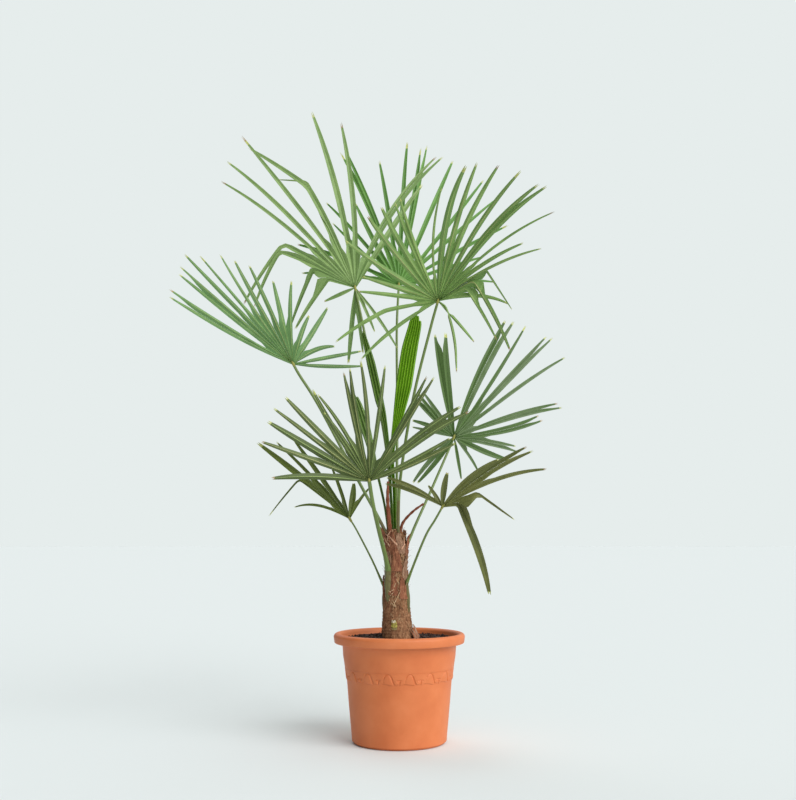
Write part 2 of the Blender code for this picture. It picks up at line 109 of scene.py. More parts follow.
def onlySelect(piece):
    deselectAll()
    piece.select_set(True)
    bpy.context.view_layer.objects.active = piece


def smoothByAngle(piece, degrees):
    onlySelect(piece)
    bpy.ops.object.shade_smooth_by_angle(angle=math.radians(degrees))


def meshPiece(name, vertices, faces, materials, marks=None, smoothAngle=40, uvs=None):
    # a mesh whose place is in its own points; marks say which material each face takes
    mesh = bpy.data.meshes.new(name)
    mesh.from_pydata(vertices, [], faces)
    piece = bpy.data.objects.new(name, mesh)
    bpy.context.scene.collection.objects.link(piece)
    for material in materials:
        mesh.materials.append(material)
    if marks:
        mesh.polygons.foreach_set("material_index", marks)
    if uvs:
        layer = mesh.uv_layers.new(name="grain")
        corners = [0] * len(mesh.loops)
        mesh.loops.foreach_get("vertex_index", corners)
        layer.data.foreach_set("uv", [value for corner in corners for value in uvs[corner]])
    work = bmesh.new()
    work.from_mesh(mesh)
    bmesh.ops.recalc_face_normals(work, faces=work.faces)
    work.to_mesh(mesh)
    work.free()
    smoothByAngle(piece, smoothAngle)
    return piece


def finishPiece(piece, slotName, *nodes):
    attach(piece, "root")
    if nodes:
        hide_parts(*nodes)


def smoothLine(points, perSpan):
    # points on a smooth curve through the given ones
    given = [Vector(point) for point in points]
    ends = [2 * given[0] - given[1]] + given + [2 * given[-1] - given[-2]]
    line = []
    for index in range(1, len(ends) - 2):
        before, start, end, after = ends[index - 1:index + 3]
        for step in range(perSpan):
            t = step / perSpan
            line.append(0.5 * (2 * start + (end - before) * t
                               + (2 * before - 5 * start + 4 * end - after) * t ** 2
                               + (3 * start - before - 3 * end + after) * t ** 3))
    line.append(given[-1])
    return line


def spread(values, share):
    # a value at a share of an evenly spaced list
    place = min(max(share, 0), 1) * (len(values) - 1)
    low = min(int(place), len(values) - 2)
    return values[low] + (values[low + 1] - values[low]) * (place - low)


def ringAt(middle, across, deep, wide, high, count):
    # points of an oval ring round a middle point
    turns = [2 * math.pi * step / count for step in range(count)]
    return [tuple(middle + across * wide * math.cos(turn) + deep * high * math.sin(turn)) for turn in turns]


def ringFaces(near, far, count):
    # side faces between two rings of points, given by their first points
    afters = [(step + 1) % count for step in range(count)]
    return [(near + step, near + after, far + after, far + step) for step, after in enumerate(afters)]


def newBag():
    return {"vertices": [], "faces": [], "marks": [], "uvs": [], "shift": 0.0}


# camera at the photograph's viewing angle
cameraPlan = {"place": (-0.003, -2.343, 0.454), "pitchUp": 7.9, "lens": 45.0, "sensor": 36.0}
bpy.ops.object.camera_add(location=cameraPlan["place"],
                          rotation=(math.radians(90 + cameraPlan["pitchUp"]), 0, 0))
camera = bpy.context.object
camera.data.lens = cameraPlan["lens"]
camera.data.sensor_width = cameraPlan["sensor"]
bpy.context.scene.camera = camera

# a wide plain floor, pale blue-grey like the photograph's ground
stagePlan = {"radius": 60.0, "steps": 96, "paper": "#e2e8e9"}
deselectAll()
bpy.ops.mesh.primitive_circle_add(vertices=stagePlan["steps"], radius=stagePlan["radius"], fill_type="NGON")
stage = bpy.context.object
stage.name = "stage"
# matt paper: no gloss
paper, _, paperShader = newMaterial("backdrop paper matt", Roughness=1.0)
paperShader.inputs["Base Color"].default_value = srgb(stagePlan["paper"])
paperShader.inputs["Specular IOR Level"].default_value = 0.0
stage.data.materials.append(paper)

# a soft key from the front right and a room that is brighter on the right
lightPlan = {"from": (1.5, -1.5, 1.35), "power": 2.1, "soft": 50, "rim": 0.5, "backdrop": "#e6edec",
             "dimSide": "#5e6468", "brightSide": "#e9eae6", "roomStrength": 1.1}
bpy.ops.object.light_add(type="SUN", location=lightPlan["from"])
key = bpy.context.object
key.name = "light_key"
key.data.energy = lightPlan["power"]
key.data.angle = math.radians(lightPlan["soft"])
key.rotation_euler = Vector([-value for value in lightPlan["from"]]).to_track_quat("-Z", "Y").to_euler()
bpy.ops.object.light_add(type="SUN", location=(-1.0, 1.6, 1.8))
rim = bpy.context.object
rim.name = "light_rim"
rim.data.energy = lightPlan["rim"]
rim.data.angle = math.radians(40)
rim.rotation_euler = Vector((1.0, -1.6, -1.8)).to_track_quat("-Z", "Y").to_euler()
world = bpy.data.worlds.new("soft studio")
world.use_nodes = True
sky = world.node_tree
sky.nodes.clear()
direction = addNode(sky, "ShaderNodeTexCoord")
sides = addNode(sky, "ShaderNodeSeparateXYZ", links={"Vector": direction.outputs["Generated"]})
leftToRight = addNode(sky, "ShaderNodeMapRange", {"From Min": -1.0, "From Max": 1.0},
                      {"Value": sides.outputs["X"]})
room = colourRamp(sky, leftToRight.outputs["Result"],
                  [(0.1, lightPlan["dimSide"]), (0.75, lightPlan["brightSide"])])
roomLight = addNode(sky, "ShaderNodeBackground", {"Strength": lightPlan["roomStrength"]},
                    {"Color": room.outputs["Color"]})
behind = addNode(sky, "ShaderNodeBackground", {"Color": srgb(lightPlan["backdrop"]), "Strength": 1.0})
seen = addNode(sky, "ShaderNodeLightPath")
mixed = addNode(sky, "ShaderNodeMixShader", links={"Fac": seen.outputs["Is Camera Ray"]})
sky.links.new(roomLight.outputs["Background"], mixed.inputs[1])
sky.links.new(behind.outputs["Background"], mixed.inputs[2])
addNode(sky, "ShaderNodeOutputWorld", links={"Surface": mixed.outputs["Shader"]})
bpy.context.scene.world = world
bpy.context.scene.view_settings.view_transform = "Standard"
print("windmill palm: camera, stage and lights")


# pot, moulded in clay-coloured plastic
potPlan = {
    "height": 0.241, "rimRadius": 0.150, "lip": 0.008, "rimDepth": 0.022, "neck": 0.131, "foot": 0.107,
    "footRound": 0.009, "wall": 0.0035, "bandFoot": 0.1375, "bandTop": 0.1645, "steps": 192,
    "notches": 4, "notchWidth": 0.020, "notchHeight": 0.003, "notchDepth": 0.014,
}


def clayPlastic():
    # moulded plastic in a terra cotta colour: matt, a little mottled, with a soft sheen
    material, tree, shader = newMaterial("terracotta plastic moulded", Roughness=0.55)
    stops = [(0.3, "#cb6c39"), (0.55, "#d37541"), (0.75, "#d87c49")]
    tint(tree, shader, noiseOn(tree, "Object", 18.0, 5.0), stops)
    emboss(tree, shader, noiseOn(tree, "Object", 900.0, 3.0), 0.12, 0.0004)
    return material


def extrudeRings(profile, steps):
    # a disc at the first ring, then one extrusion for each further (radius, height)
    deselectAll()
    first = profile[0]
    bpy.ops.mesh.primitive_circle_add(vertices=steps, radius=first[0], fill_type="NGON",
                                      location=(0, 0, first[1]))
    piece = bpy.context.object
    bpy.ops.object.transform_apply(location=True, rotation=True, scale=True)
    bpy.ops.object.mode_set(mode="EDIT")
    bpy.ops.mesh.select_all(action="SELECT")
    radius, height = first
    for nextRadius, nextHeight in profile[1:]:
        bpy.ops.mesh.extrude_region_move(TRANSFORM_OT_translate={"value": (0, 0, nextHeight - height)})
        factor = nextRadius / radius
        bpy.ops.transform.resize(value=(factor, factor, 1), center_override=(0, 0, nextHeight))
        radius, height = nextRadius, nextHeight
    bpy.ops.mesh.select_all(action="SELECT")
    bpy.ops.mesh.normals_make_consistent(inside=False)
    bpy.ops.object.mode_set(mode="OBJECT")
    return piece


def potProfile(plan):
    rimLow = plan["height"] - plan["rimDepth"]
    points = []
    for step in range(0, 7):
        turn = math.radians(15 * step)
        points.append((plan["foot"] - plan["footRound"] * (1 - math.sin(turn)),
                       plan["footRound"] * (1 - math.cos(turn))))
    points += [(0.1092, 0.030), (0.1122, 0.060), (0.1155, 0.095), (0.1183, 0.128),
               (0.1188, plan["bandFoot"] - 0.0002)]
    points += [(0.1180, plan["bandFoot"] + 0.001), (0.1205, plan["bandTop"] - 0.001),
               (0.1238, plan["bandTop"] + 0.0002)]
    points += [(0.1250, 0.172), (0.1284, 0.193), (plan["neck"] - 0.001, rimLow - 0.002),
               (plan["neck"] + 0.0005, rimLow)]
    points += [(plan["rimRadius"] - 0.0045, rimLow), (plan["rimRadius"] - 0.0025, rimLow + 0.0008),
               (plan["rimRadius"] - 0.0016, rimLow + 0.0028)]
    middle = (plan["rimRadius"] - plan["lip"], plan["height"] - plan["lip"])
    for step in range(0, 13):
        turn = math.radians(15 * step)
        points.append((middle[0] + plan["lip"] * math.cos(turn), middle[1] + plan["lip"] * math.sin(turn)))
    innerNeck = plan["neck"] - plan["wall"]
    points += [(innerNeck + 0.004, rimLow + 0.002), (innerNeck + 0.001, rimLow - 0.004),
               (innerNeck - 0.0015, 0.200)]
    points += [(0.112, 0.070), (0.107, 0.0052)]
    return points


potMaterial = clayPlastic()
pot = extrudeRings(potProfile(potPlan), potPlan["steps"])
pot.name = "pot_body"
pot.data.materials.append(potMaterial)
for index in range(potPlan["notches"]):       # drain notches in the foot edge, the first at the front
    turn = math.radians(360 * index / potPlan["notches"] - 90)
    deselectAll()
    place = (potPlan["foot"] * math.cos(turn), potPlan["foot"] * math.sin(turn), 0)
    size = (potPlan["notchDepth"], potPlan["notchWidth"], potPlan["notchHeight"] * 2)
    bpy.ops.mesh.primitive_cube_add(size=1, location=place, rotation=(0, 0, turn), scale=size)
    cutter = bpy.context.object
    cut = pot.modifiers.new("notch", "BOOLEAN")
    cut.object = cutter
    cut.operation = "DIFFERENCE"
    cut.solver = "MANIFOLD"
    onlySelect(pot)
    bpy.ops.object.modifier_apply(modifier="notch")
    bpy.data.objects.remove(cutter, do_unlink=True)
smoothByAngle(pot, 40)
finishPiece(pot, "clay", "pot")


# the moulded band, in mm: a rolling crest, its slanted leg and a small upright mark, repeated round the pot
bandPlan = {
    "repeats": 16, "length": 46.0, "height": 27.0, "columns": 50, "rows": 30, "bulge": 0.6, "ledge": 4.2,
    "sink": 1.8,
    # the walls are in metres
    "wallFoot": 0.1207, "wallLean": 0.0035, "innerTop": 0.1195, "innerFoot": 0.1170,
    "grooves": (
        (((14, 18), (16, 22), (19, 24.5), (23, 25), (26, 23.5), (28.4, 20)), 1.6, 1.5),
        (((28.4, 20), (30.7, 14), (33, 8), (35.3, 2)), 2.2, 2.4),
        (((-5, 12), (0, 12.6), (5, 12)), 1.6, 1.6),
        (((1.4, 12), (0.6, 7), (-0.6, 2)), 1.9, 2.2),
        (((8, 5.5), (11, 4)), 1.4, 0.8),
        (((10.7, 7), (13, 15), (14, 18)), 1.3, 0.6),
        (((36, 11), (38.5, 7.5)), 1.2, 0.6),
    ),
}


def lineDistance(point, line):
    best = 99.0
    for (ax, ay), (bx, by) in zip(line, line[1:]):
        dx, dy = bx - ax, by - ay
        t = min(max(((point[0] - ax) * dx + (point[1] - ay) * dy) / (dx * dx + dy * dy), 0), 1)
        best = min(best, math.hypot(point[0] - ax - dx * t, point[1] - ay - dy * t))
    return best


def bandRelief(u, v):
    # how far the surface stands out from the upper wall, in mm, at u along the repeat and v up the band
    relief = 0.0
    for line, half, depth in bandPlan["grooves"]:
        for turnOver in (-bandPlan["length"], 0, bandPlan["length"]):
            near = min(max(1 - lineDistance((u + turnOver, v), line) / half, 0), 1)
            relief = min(relief, -depth * near * near * (3 - 2 * near))
    crest = max(1 - ((u - 22) / 9) ** 2 - ((v - 12) / 11) ** 2, 0)
    bud = max(1 - ((u - 39) / 5) ** 2 - ((v - 6) / 5) ** 2, 0)
    legDip = 2.6 * math.exp(-((u - 30) / 8) ** 2)
    markDip = 2.4 * math.exp(-((u % bandPlan["length"] - 0.5) / 4) ** 2)
    below = min(max((bandPlan["ledge"] - legDip - markDip - v) / 0.9 + 0.5, 0), 1)
    return relief + bandPlan["bulge"] * math.sqrt(crest + bud) * (1 - below) - bandPlan["sink"] * below


def buildBand(plan, pot):
    heights = [[bandRelief(plan["length"] * column / plan["columns"], plan["height"] * row / plan["rows"])
                for column in range(plan["columns"])] for row in range(plan["rows"] + 1)]
    total = plan["repeats"] * plan["columns"]
    vertices, faces = [], []
    for row in range(plan["rows"] + 1):
        v = row / plan["rows"]
        z = pot["bandFoot"] + (pot["bandTop"] - pot["bandFoot"]) * v
        wall = plan["wallFoot"] + plan["wallLean"] * v
        for column in range(total):
            radius = wall + heights[row][column % plan["columns"]] / 1000
            turn = 2 * math.pi * column / total
            vertices.append((radius * math.cos(turn), radius * math.sin(turn), z))
    # the hidden inner edge closes the ring
    for z, radius in ((pot["bandTop"], plan["innerTop"]), (pot["bandFoot"], plan["innerFoot"])):
        for column in range(total):
            turn = 2 * math.pi * column / total
            vertices.append((radius * math.cos(turn), radius * math.sin(turn), z))
    rings = plan["rows"] + 3
    for ring in range(rings):
        faces += ringFaces(ring * total, (ring + 1) % rings * total, total)
    return meshPiece("pot_moulded_band", vertices, faces, [potMaterial], smoothAngle=60)


band = buildBand(bandPlan, potPlan)
finishPiece(band, "clay")
print("windmill palm: pot")


# soil: damp dark compost with crumbs; part of its darkness is painted shade inside the rim under the crown
soilPlan = {"top": 0.228, "radius": 0.1268, "depth": 0.010, "rings": 26, "steps": 120,
            "crumbs": 900, "seed": 5}


def compost():
    # damp potting compost: near black brown, darker than the compost's own colour as painted shade inside the
    # rim under the crown; rough, with paler fibre flecks
    material, tree, shader = newMaterial("compost damp with painted shade", Roughness=0.9)
    flecks = noiseOn(tree, "Object", 260.0, 6.0)
    # the near black stops hold the compost's own dark brown and painted shade together
    tint(tree, shader, flecks, [(0.35, "#1c0f0a"), (0.55, "#2e1910"), (0.72, "#4a2e1d")])
    emboss(tree, shader, flecks, 0.6, 0.002)
    return material


def buildSoil(plan):
    draw = random.Random(plan["seed"])
    vertices, faces = [(0, 0, plan["top"] + 0.001)], []
    for ring in range(1, plan["rings"] + 1):
        radius = plan["radius"] * ring / plan["rings"]
        for step in range(plan["steps"]):
            turn = 2 * math.pi * step / plan["steps"]
            x, y = radius * math.cos(turn), radius * math.sin(turn)
            lumps = 0.0035 * noise.noise((x * 40, y * 40, 1)) + 0.002 * noise.noise((x * 150, y * 150, 3))
            vertices.append((x, y, plan["top"] + lumps))
    last = len(vertices)
    for step in range(plan["steps"]):
        turn = 2 * math.pi * step / plan["steps"]
        vertices.append((plan["radius"] * math.cos(turn), plan["radius"] * math.sin(turn),
                         plan["top"] - plan["depth"]))
    for step in range(plan["steps"]):
        after = (step + 1) % plan["steps"]
        faces.append((0, 1 + step, 1 + after))
        for ring in range(plan["rings"]):
            near = 1 + ring * plan["steps"]
            far = near + plan["steps"]
            faces.append((near + step, far + step, far + after, near + after))
    faces.append(tuple(range(last, last + plan["steps"]))[::-1])
    for _ in range(plan["crumbs"]):
        radius = plan["radius"] * math.sqrt(draw.random()) * 0.985
        turn = draw.uniform(0, 2 * math.pi)
        size = draw.uniform(0.0012, 0.0036)
        middle = Vector((radius * math.cos(turn), radius * math.sin(turn), plan["top"] + size * 0.3))
        base = len(vertices)
        for corner in ((1, 0, 0), (0, 1, 0), (-1, 0, 0), (0, -1, 0), (0, 0, 1), (0, 0, -1)):
            vertices.append(tuple(middle + Vector([c * size * draw.uniform(0.6, 1.3) for c in corner])
                                  + Vector([draw.uniform(-0.3, 0.3) * size for _ in range(3)])))
        for a, b in ((0, 1), (1, 2), (2, 3), (3, 0)):
            faces.append((base + a, base + b, base + 4))
            faces.append((base + b, base + a, base + 5))
    return meshPiece("soil_crumbs", vertices, faces, [compost()], smoothAngle=30)


soil = buildSoil(soilPlan)
finishPiece(soil, "soil", "soil")
print("windmill palm: soil")


# trunk: height, sideways shift and radius of its rings, as the solid has them
trunkPlan = {
    "rings": ((0.2283, -0.001, 0.0375), (0.247, -0.005, 0.0350), (0.274, -0.0057, 0.0324),
              (0.308, -0.0068, 0.0296), (0.344, -0.0077, 0.0265), (0.384, -0.0080, 0.0240),
              (0.417, -0.0066, 0.0236), (0.440, -0.0066, 0.0236), (0.458, -0.0100, 0.0215),
              (0.472, -0.0120, 0.0165)),
    "middle": -0.008, "collar": 0.458,
    "sides": 96, "levels": 110, "relief": 0.0018, "strands": 1900, "loose": 230, "seed": 11,
}


def fibreWood(name, dark, middle, pale):
    # trunk under its matting of dry leaf-sheath fibre: fine lengthwise streaks of brown and straw
    material, tree, shader = newMaterial(name, Roughness=0.9)
    shader.inputs["Specular IOR Level"].default_value = 0.2
    streaks = noiseOn(tree, "Object", 380.0, 6.0, 0.65, (1.0, 1.0, 0.22))
    tint(tree, shader, streaks, [(0.3, dark), (0.5, middle), (0.7, pale)])
    emboss(tree, shader, streaks, 0.7, 0.0015)
    return material


def trunkAt(height):
    # middle shift and radius at a height
    rings = trunkPlan["rings"]
    height = min(max(height, rings[0][0]), rings[-1][0])
    for low, high in zip(rings, rings[1:]):
        if height <= high[0]:
            t = (height - low[0]) / (high[0] - low[0])
            t = t * t * (3 - 2 * t) * 0.5 + t * 0.5
            return low[1] + (high[1] - low[1]) * t, low[2] + (high[2] - low[2]) * t
    return rings[-1][1], rings[-1][2]


def barkRelief(turn, height):
    # low down old leaf scars ring the trunk; higher up sheath edges slant both ways over coarse fibre
    around = (math.cos(turn), math.sin(turn))
    upper = min(max((height - 0.285) / 0.05, 0), 1)
    wound = ((height - 0.22) / 0.024 + turn / math.pi) % 1.0
    crossed = ((height - 0.22) / 0.024 - turn / math.pi + 0.5) % 1.0
    wander = 0.002 * noise.noise((around[0] * 3, around[1] * 3, 5))
    scars = 0.35 * math.sin((height + wander) / 0.0075 * 2 * math.pi)
    coarse = noise.noise((around[0] * 5, around[1] * 5, height * 32))
    fine = noise.noise((around[0] * 22, around[1] * 22, height * 50))
    weave = 0.9 * wound ** 4 + 0.7 * crossed ** 5 + 0.6 * fine - 0.2
    return coarse * 0.7 + scars * (1 - upper) + weave * upper + 0.25 * fine


def trunkPoint(turn, height, out=0.0):
    shift, radius = trunkAt(height)
    reach = radius + trunkPlan["relief"] * barkRelief(turn, height) + out
    return Vector((shift + reach * math.cos(turn), reach * math.sin(turn), height))


def buildTrunk(plan):
    low, high = plan["rings"][0][0], plan["rings"][-1][0]
    vertices, faces = [], []
    for level in range(plan["levels"] + 1):
        height = low + (high - low) * level / plan["levels"]
        for side in range(plan["sides"]):
            vertices.append(tuple(trunkPoint(2 * math.pi * side / plan["sides"], height)))
    for level in range(plan["levels"]):
        faces += ringFaces(level * plan["sides"], (level + 1) * plan["sides"], plan["sides"])
    top = plan["levels"] * plan["sides"]
    crown = len(vertices)
    vertices.append((plan["rings"][-1][1], 0, high + 0.006))
    for side in range(plan["sides"]):
        faces.append((top + side, top + (side + 1) % plan["sides"], crown))
    faces.append(tuple(range(plan["sides"]))[::-1])
    return meshPiece("trunk_wood", vertices, faces,
                     [fibreWood("trunk fibre bark", "#6b452f", "#94694b", "#b58b68")])


trunk = buildTrunk(trunkPlan)
finishPiece(trunk, "bark", "trunk")


def addStrand(bag, points, thick, mark, flat=1.0):
    # a strand with a four-sided section that tapers off; flat below 1 makes a ribbon
    base = len(bag["vertices"])
    count = len(points)
    for index, point in enumerate(points):
        ahead = (points[min(index + 1, count - 1)] - points[max(index - 1, 0)]).normalized()
        side = ahead.cross(Vector((point.x - trunkPlan["middle"], point.y, 0))).normalized()
        width = thick * (1.0 - 0.8 * (index / (count - 1)) ** 2)
        bag["vertices"] += ringAt(point, side, ahead.cross(side), width, width * flat, 4)
    for index in range(count - 1):
        bag["faces"] += ringFaces(base + 4 * index, base + 4 * index + 4, 4)
    end = base + 4 * (count - 1)
    bag["faces"] += [(base + 3, base + 2, base + 1, base), (end, end + 1, end + 2, end + 3)]
    bag["marks"] += [mark] * (4 * (count - 1) + 2)


def closeSheet(bag, base, rows, columns, markAt, rimMark):
    # faces of a thin sheet: its front grid of points starts at base and its back grid comes next
    size = (rows + 1) * (columns + 1)
    for row in range(rows):
        for column in range(columns):
            a = base + row * (columns + 1) + column
            quad = (a, a + 1, a + columns + 2, a + columns + 1)
            bag["faces"] += [quad, tuple(corner + size for corner in reversed(quad))]
            bag["marks"] += [markAt(row, column)] * 2
    rim = list(range(columns + 1)) + [row * (columns + 1) + columns for row in range(1, rows + 1)]
    rim += [rows * (columns + 1) + column for column in range(columns - 1, -1, -1)]
    rim += [row * (columns + 1) for row in range(rows - 1, 0, -1)]
    for a, b in zip(rim, rim[1:] + rim[:1]):
        bag["faces"].append((base + b, base + a, base + a + size, base + b + size))
        bag["marks"].append(rimMark)


def addFlap(bag, turn, low, high, width, flare, mark, draw, lean=0.0):
    # a dry sheath flap: a curved plate that hugs the trunk low down and stands off at its ragged top
    rows, columns = 9, 8
    base = len(bag["vertices"])
    wiggle = draw.uniform(0, 9)
    for layer in (0.0011, 0.0):
        for row in range(rows + 1):
            t = row / rows
            spanHere = width * (1 - 0.72 * t ** 1.3)
            for column in range(columns + 1):
                c = column / columns * 2 - 1
                ragged = 0.006 * noise.noise((column * 1.3 + wiggle, 7.0, wiggle)) * t
                height = low + (high - low) * t + ragged
                radius = trunkAt(min(height, 0.452))[1]
                here = turn + lean * t + c * spanHere / 2 / radius
                out = 0.0006 + layer + flare * t ** 2.2 + 0.0010 * math.sin(column * 2.1 + row) * t
                above = Vector((0, 0, max(height - trunkPlan["collar"], 0)))
                point = trunkPoint(here, min(height, trunkPlan["collar"]), out) + above
                bag["vertices"].append(tuple(point))
                bag["uvs"].append((c * width / 2, height))
    closeSheet(bag, base, rows, columns, lambda row, column: mark, mark)


# sheath flaps, listed one by one: turn (degrees, -90 is the front), foot, top, width, flare, lean
flapPlan = {
    "rows": (
        (-165, 0.424, 0.480, 0.030, 0.014, 0), (-118, 0.418, 0.470, 0.026, 0.004, 14),
        (-60, 0.420, 0.466, 0.026, 0.003, -10), (-12, 0.412, 0.462, 0.024, 0.012, 0),
        (35, 0.420, 0.474, 0.028, 0.006, 0), (80, 0.424, 0.478, 0.028, 0.007, 0),
        (130, 0.418, 0.474, 0.028, 0.008, 0), (-140, 0.372, 0.425, 0.024, 0.003, 8),
        (-85, 0.380, 0.432, 0.026, 0.002, -8), (-30, 0.360, 0.415, 0.024, 0.003, 0),
        (20, 0.376, 0.430, 0.024, 0.003, 0), (75, 0.380, 0.436, 0.026, 0.003, 0),
        (150, 0.366, 0.424, 0.026, 0.004, 0), (-110, 0.326, 0.378, 0.026, 0.002, 10),
        (-50, 0.318, 0.366, 0.024, 0.002, -10), (10, 0.330, 0.380, 0.024, 0.002, 0),
        (60, 0.322, 0.378, 0.026, 0.002, 0), (115, 0.334, 0.384, 0.026, 0.003, 0),
        (175, 0.316, 0.370, 0.026, 0.003, 0)),
    # straw bits: turn, height, length, slant from upright (degrees)
    "straws": (
        (-103, 0.303, 0.040, 25), (-97, 0.302, 0.012, -40), (-92, 0.300, 0.018, -22),
        (-118, 0.325, 0.012, 45), (-113, 0.332, 0.011, -45), (-112, 0.362, 0.018, 42),
        (-116, 0.335, 0.010, 60), (-98, 0.345, 0.012, 20), (-75, 0.352, 0.014, -30),
        (60, 0.31, 0.02, 30), (100, 0.34, 0.018, -35), (160, 0.33, 0.02, 25)),
    # pale torn strips near the top
    "strips": (
        (-128, 0.436, 0.036, -24), (-104, 0.452, 0.034, -48), (-84, 0.438, 0.028, -32),
        (-60, 0.430, 0.030, 20), (-140, 0.444, 0.030, 15), (-20, 0.432, 0.030, 10),
        (40, 0.436, 0.032, -20), (110, 0.438, 0.034, 25), (170, 0.44, 0.03, -10)),
}


def surfaceStrand(turnDegrees, height, length, slant, bow):
    points = []
    for index in range(6):
        t = index / 5
        rise = height + length * t * math.cos(math.radians(slant))
        shift, radius = trunkAt(rise)
        turn = math.radians(turnDegrees) + length * t * math.sin(math.radians(slant)) / radius
        point = trunkPoint(turn, min(rise, 0.455), 0.0012 + bow * math.sin(math.pi * t * 0.8))
        point.z = rise
        points.append(point)
    return points


def buildFibres(plan):
    draw = random.Random(plan["seed"])
    bag = newBag()
    low, high = plan["rings"][0][0] + 0.003, plan["rings"][-1][0]
    for _ in range(plan["strands"]):
        turn = draw.uniform(0, 2 * math.pi)
        height = low + (high - low - 0.006) * draw.random() ** 0.75
        slant = draw.choice((-1, 1)) * draw.uniform(0.1, 1.0)
        length = draw.uniform(0.010, 0.036) * (0.5 if height < 0.29 else 1.0)
        points = []
        for index in range(5):
            t = index / 4
            rise = min(height + length * t * 0.9, high + 0.004)
            points.append(trunkPoint(turn + slant * length * t / 0.03, rise,
                                     0.0002 + 0.0010 * math.sin(math.pi * t) * draw.random()))
        addStrand(bag, points, draw.uniform(0.0002, 0.0005), draw.choice((0, 0, 1, 1, 1, 2)))
    for _ in range(plan["loose"]):        # ragged ends that stand off the trunk, most of them near the top
        turn = draw.uniform(0, 2 * math.pi)
        height = 0.325 + (high - 0.325) * draw.random() ** 0.5
        start = trunkPoint(turn, min(height, high - 0.004), 0.0)
        out = Vector((math.cos(turn), math.sin(turn), draw.uniform(0.8, 4.0))).normalized()
        length = draw.uniform(0.006, 0.024)
        side = Vector((-math.sin(turn), math.cos(turn), 0)) * draw.uniform(-0.5, 0.5)
        points = [start + (out + side * t) * length * t + Vector((0, 0, -0.3)) * length * t * t
                  for t in (0, 0.25, 0.5, 0.75, 1.0)]
        addStrand(bag, points, draw.uniform(0.0002, 0.0005), draw.choice((0, 1, 1, 2)))
    for turn, foot, top, width, flare, lean in flapPlan["rows"]:
        addFlap(bag, math.radians(turn), foot, top, width, flare, draw.choice((3, 3, 4)), draw,
                math.radians(lean))
    for turn, height, length, slant in flapPlan["straws"]:
        addStrand(bag, surfaceStrand(turn, height, length, slant, 0.002), 0.0009, 2, 0.6)
    for turn, height, length, slant in flapPlan["strips"]:
        addStrand(bag, surfaceStrand(turn, height, length, slant, 0.003), 0.0020, 5, 0.3)
    materials = [fibreWood("sheath fibre dark", "#4a2c1c", "#6b4530", "#8a6245"),
                 fibreWood("sheath fibre brown", "#6e4832", "#97704f", "#b8916c"),
                 fibreWood("sheath fibre straw", "#a88560", "#cfae88", "#e6cdaa"),
                 fibreWood("sheath flap red brown", "#5f3524", "#8a5740", "#ab7a5a"),
                 fibreWood("sheath flap grey brown", "#6b4a36", "#94705a", "#b39378"),
                 fibreWood("sheath strip torn", "#a9785c", "#cc9c80", "#e0bba0")]
    return meshPiece("trunk_fibres", bag["vertices"], bag["faces"], materials, bag["marks"])


fibres = buildFibres(trunkPlan)
finishPiece(fibres, "bark")

# low on the trunk: a fresh cut scar at the front and a broken stub at the right
scarPlan = {"turn": -101, "foot": 0.250, "top": 0.271, "half": 0.0072, "trunkRadius": 0.034}
stubPlan = {"turn": -18, "foot": 0.229, "top": 0.263, "strips": 7, "spread": 7, "half": 0.0040}


def plainPlant(name, hexCode, roughness=0.7):
    # soft living or dried tissue of one colour with a fine mottle
    material, tree, shader = newMaterial(name, Roughness=roughness)
    light = tuple(min(255, int(int(hexCode[i:i + 2], 16) * 1.12)) for i in (1, 3, 5))
    dark = tuple(int(int(hexCode[i:i + 2], 16) * 0.8) for i in (1, 3, 5))
    mottle = noiseOn(tree, "Object", 300.0, 4.0)
    tint(tree, shader, mottle, [(0.35, "#%02x%02x%02x" % dark), (0.65, "#%02x%02x%02x" % light)])
    emboss(tree, shader, mottle, 0.5, 0.001)
    return material


def buildScar(plan):
    bag = newBag()
    rows, columns = 8, 6
    for layer in (0.0012, -0.0008):
        for row in range(rows + 1):
            t = row / rows
            swell = 0.35 + 0.65 * math.sin(math.pi * min(t * 0.62 + 0.2, 1)) + 0.10 * math.sin(row * 2.3)
            half = plan["half"] * swell
            for column in range(columns + 1):
                c = column / columns * 2 - 1
                ragged = 0.0016 * math.sin(column * 1.9) * t
                height = plan["foot"] + (plan["top"] - plan["foot"]) * t + ragged
                lip = 0.0010 if row >= rows - 1 else 0
                turn = math.radians(plan["turn"]) + c * half / plan["trunkRadius"]
                bag["vertices"].append(tuple(trunkPoint(turn, height, layer * (1 - c * c * 0.8) + lip)))
    # pale wood along the upper edge, olive at the foot, yellow green between
    def scarMark(row, column):
        return 1 if row >= rows - 2 and column < columns - 1 else (2 if row < 2 else 0)

    closeSheet(bag, 0, rows, columns, scarMark, 0)
    materials = [plainPlant("cut scar yellow green", "#a59a45"), plainPlant("cut scar pale wood", "#efdcc0"),
                 plainPlant("cut scar olive", "#86774a")]
    return meshPiece("trunk_scar", bag["vertices"], bag["faces"], materials, bag["marks"])


finishPiece(buildScar(scarPlan), "bark")



def buildStub(plan):
    # upright strips of a broken leaf base, the middle one longest
    bag = newBag()
    for index in range(plan["strips"]):
        turn = math.radians(plan["turn"] + (index - 3) * plan["spread"])
        top = plan["top"] - abs(index - 3.4) * 0.0045
        points = []
        for step in range(6):
            t = step / 5
            out = 0.001 + 0.0085 * math.sin(math.pi * (0.25 + 0.6 * t))
            points.append(trunkPoint(turn, plan["foot"] + (top - plan["foot"]) * t, out))
        addStrand(bag, points, plan["half"] - 0.0003 * abs(index - 3), index % 2, 0.7)
    materials = [fibreWood("stub red brown", "#6e3f2a", "#9a6247", "#b98566"),
                 fibreWood("stub grey brown", "#7a5a46", "#a3806a", "#bd9d86")]
    return meshPiece("trunk_stub", bag["vertices"], bag["faces"], materials, bag["marks"])


finishPiece(buildStub(stubPlan), "bark")
print("windmill palm: trunk")


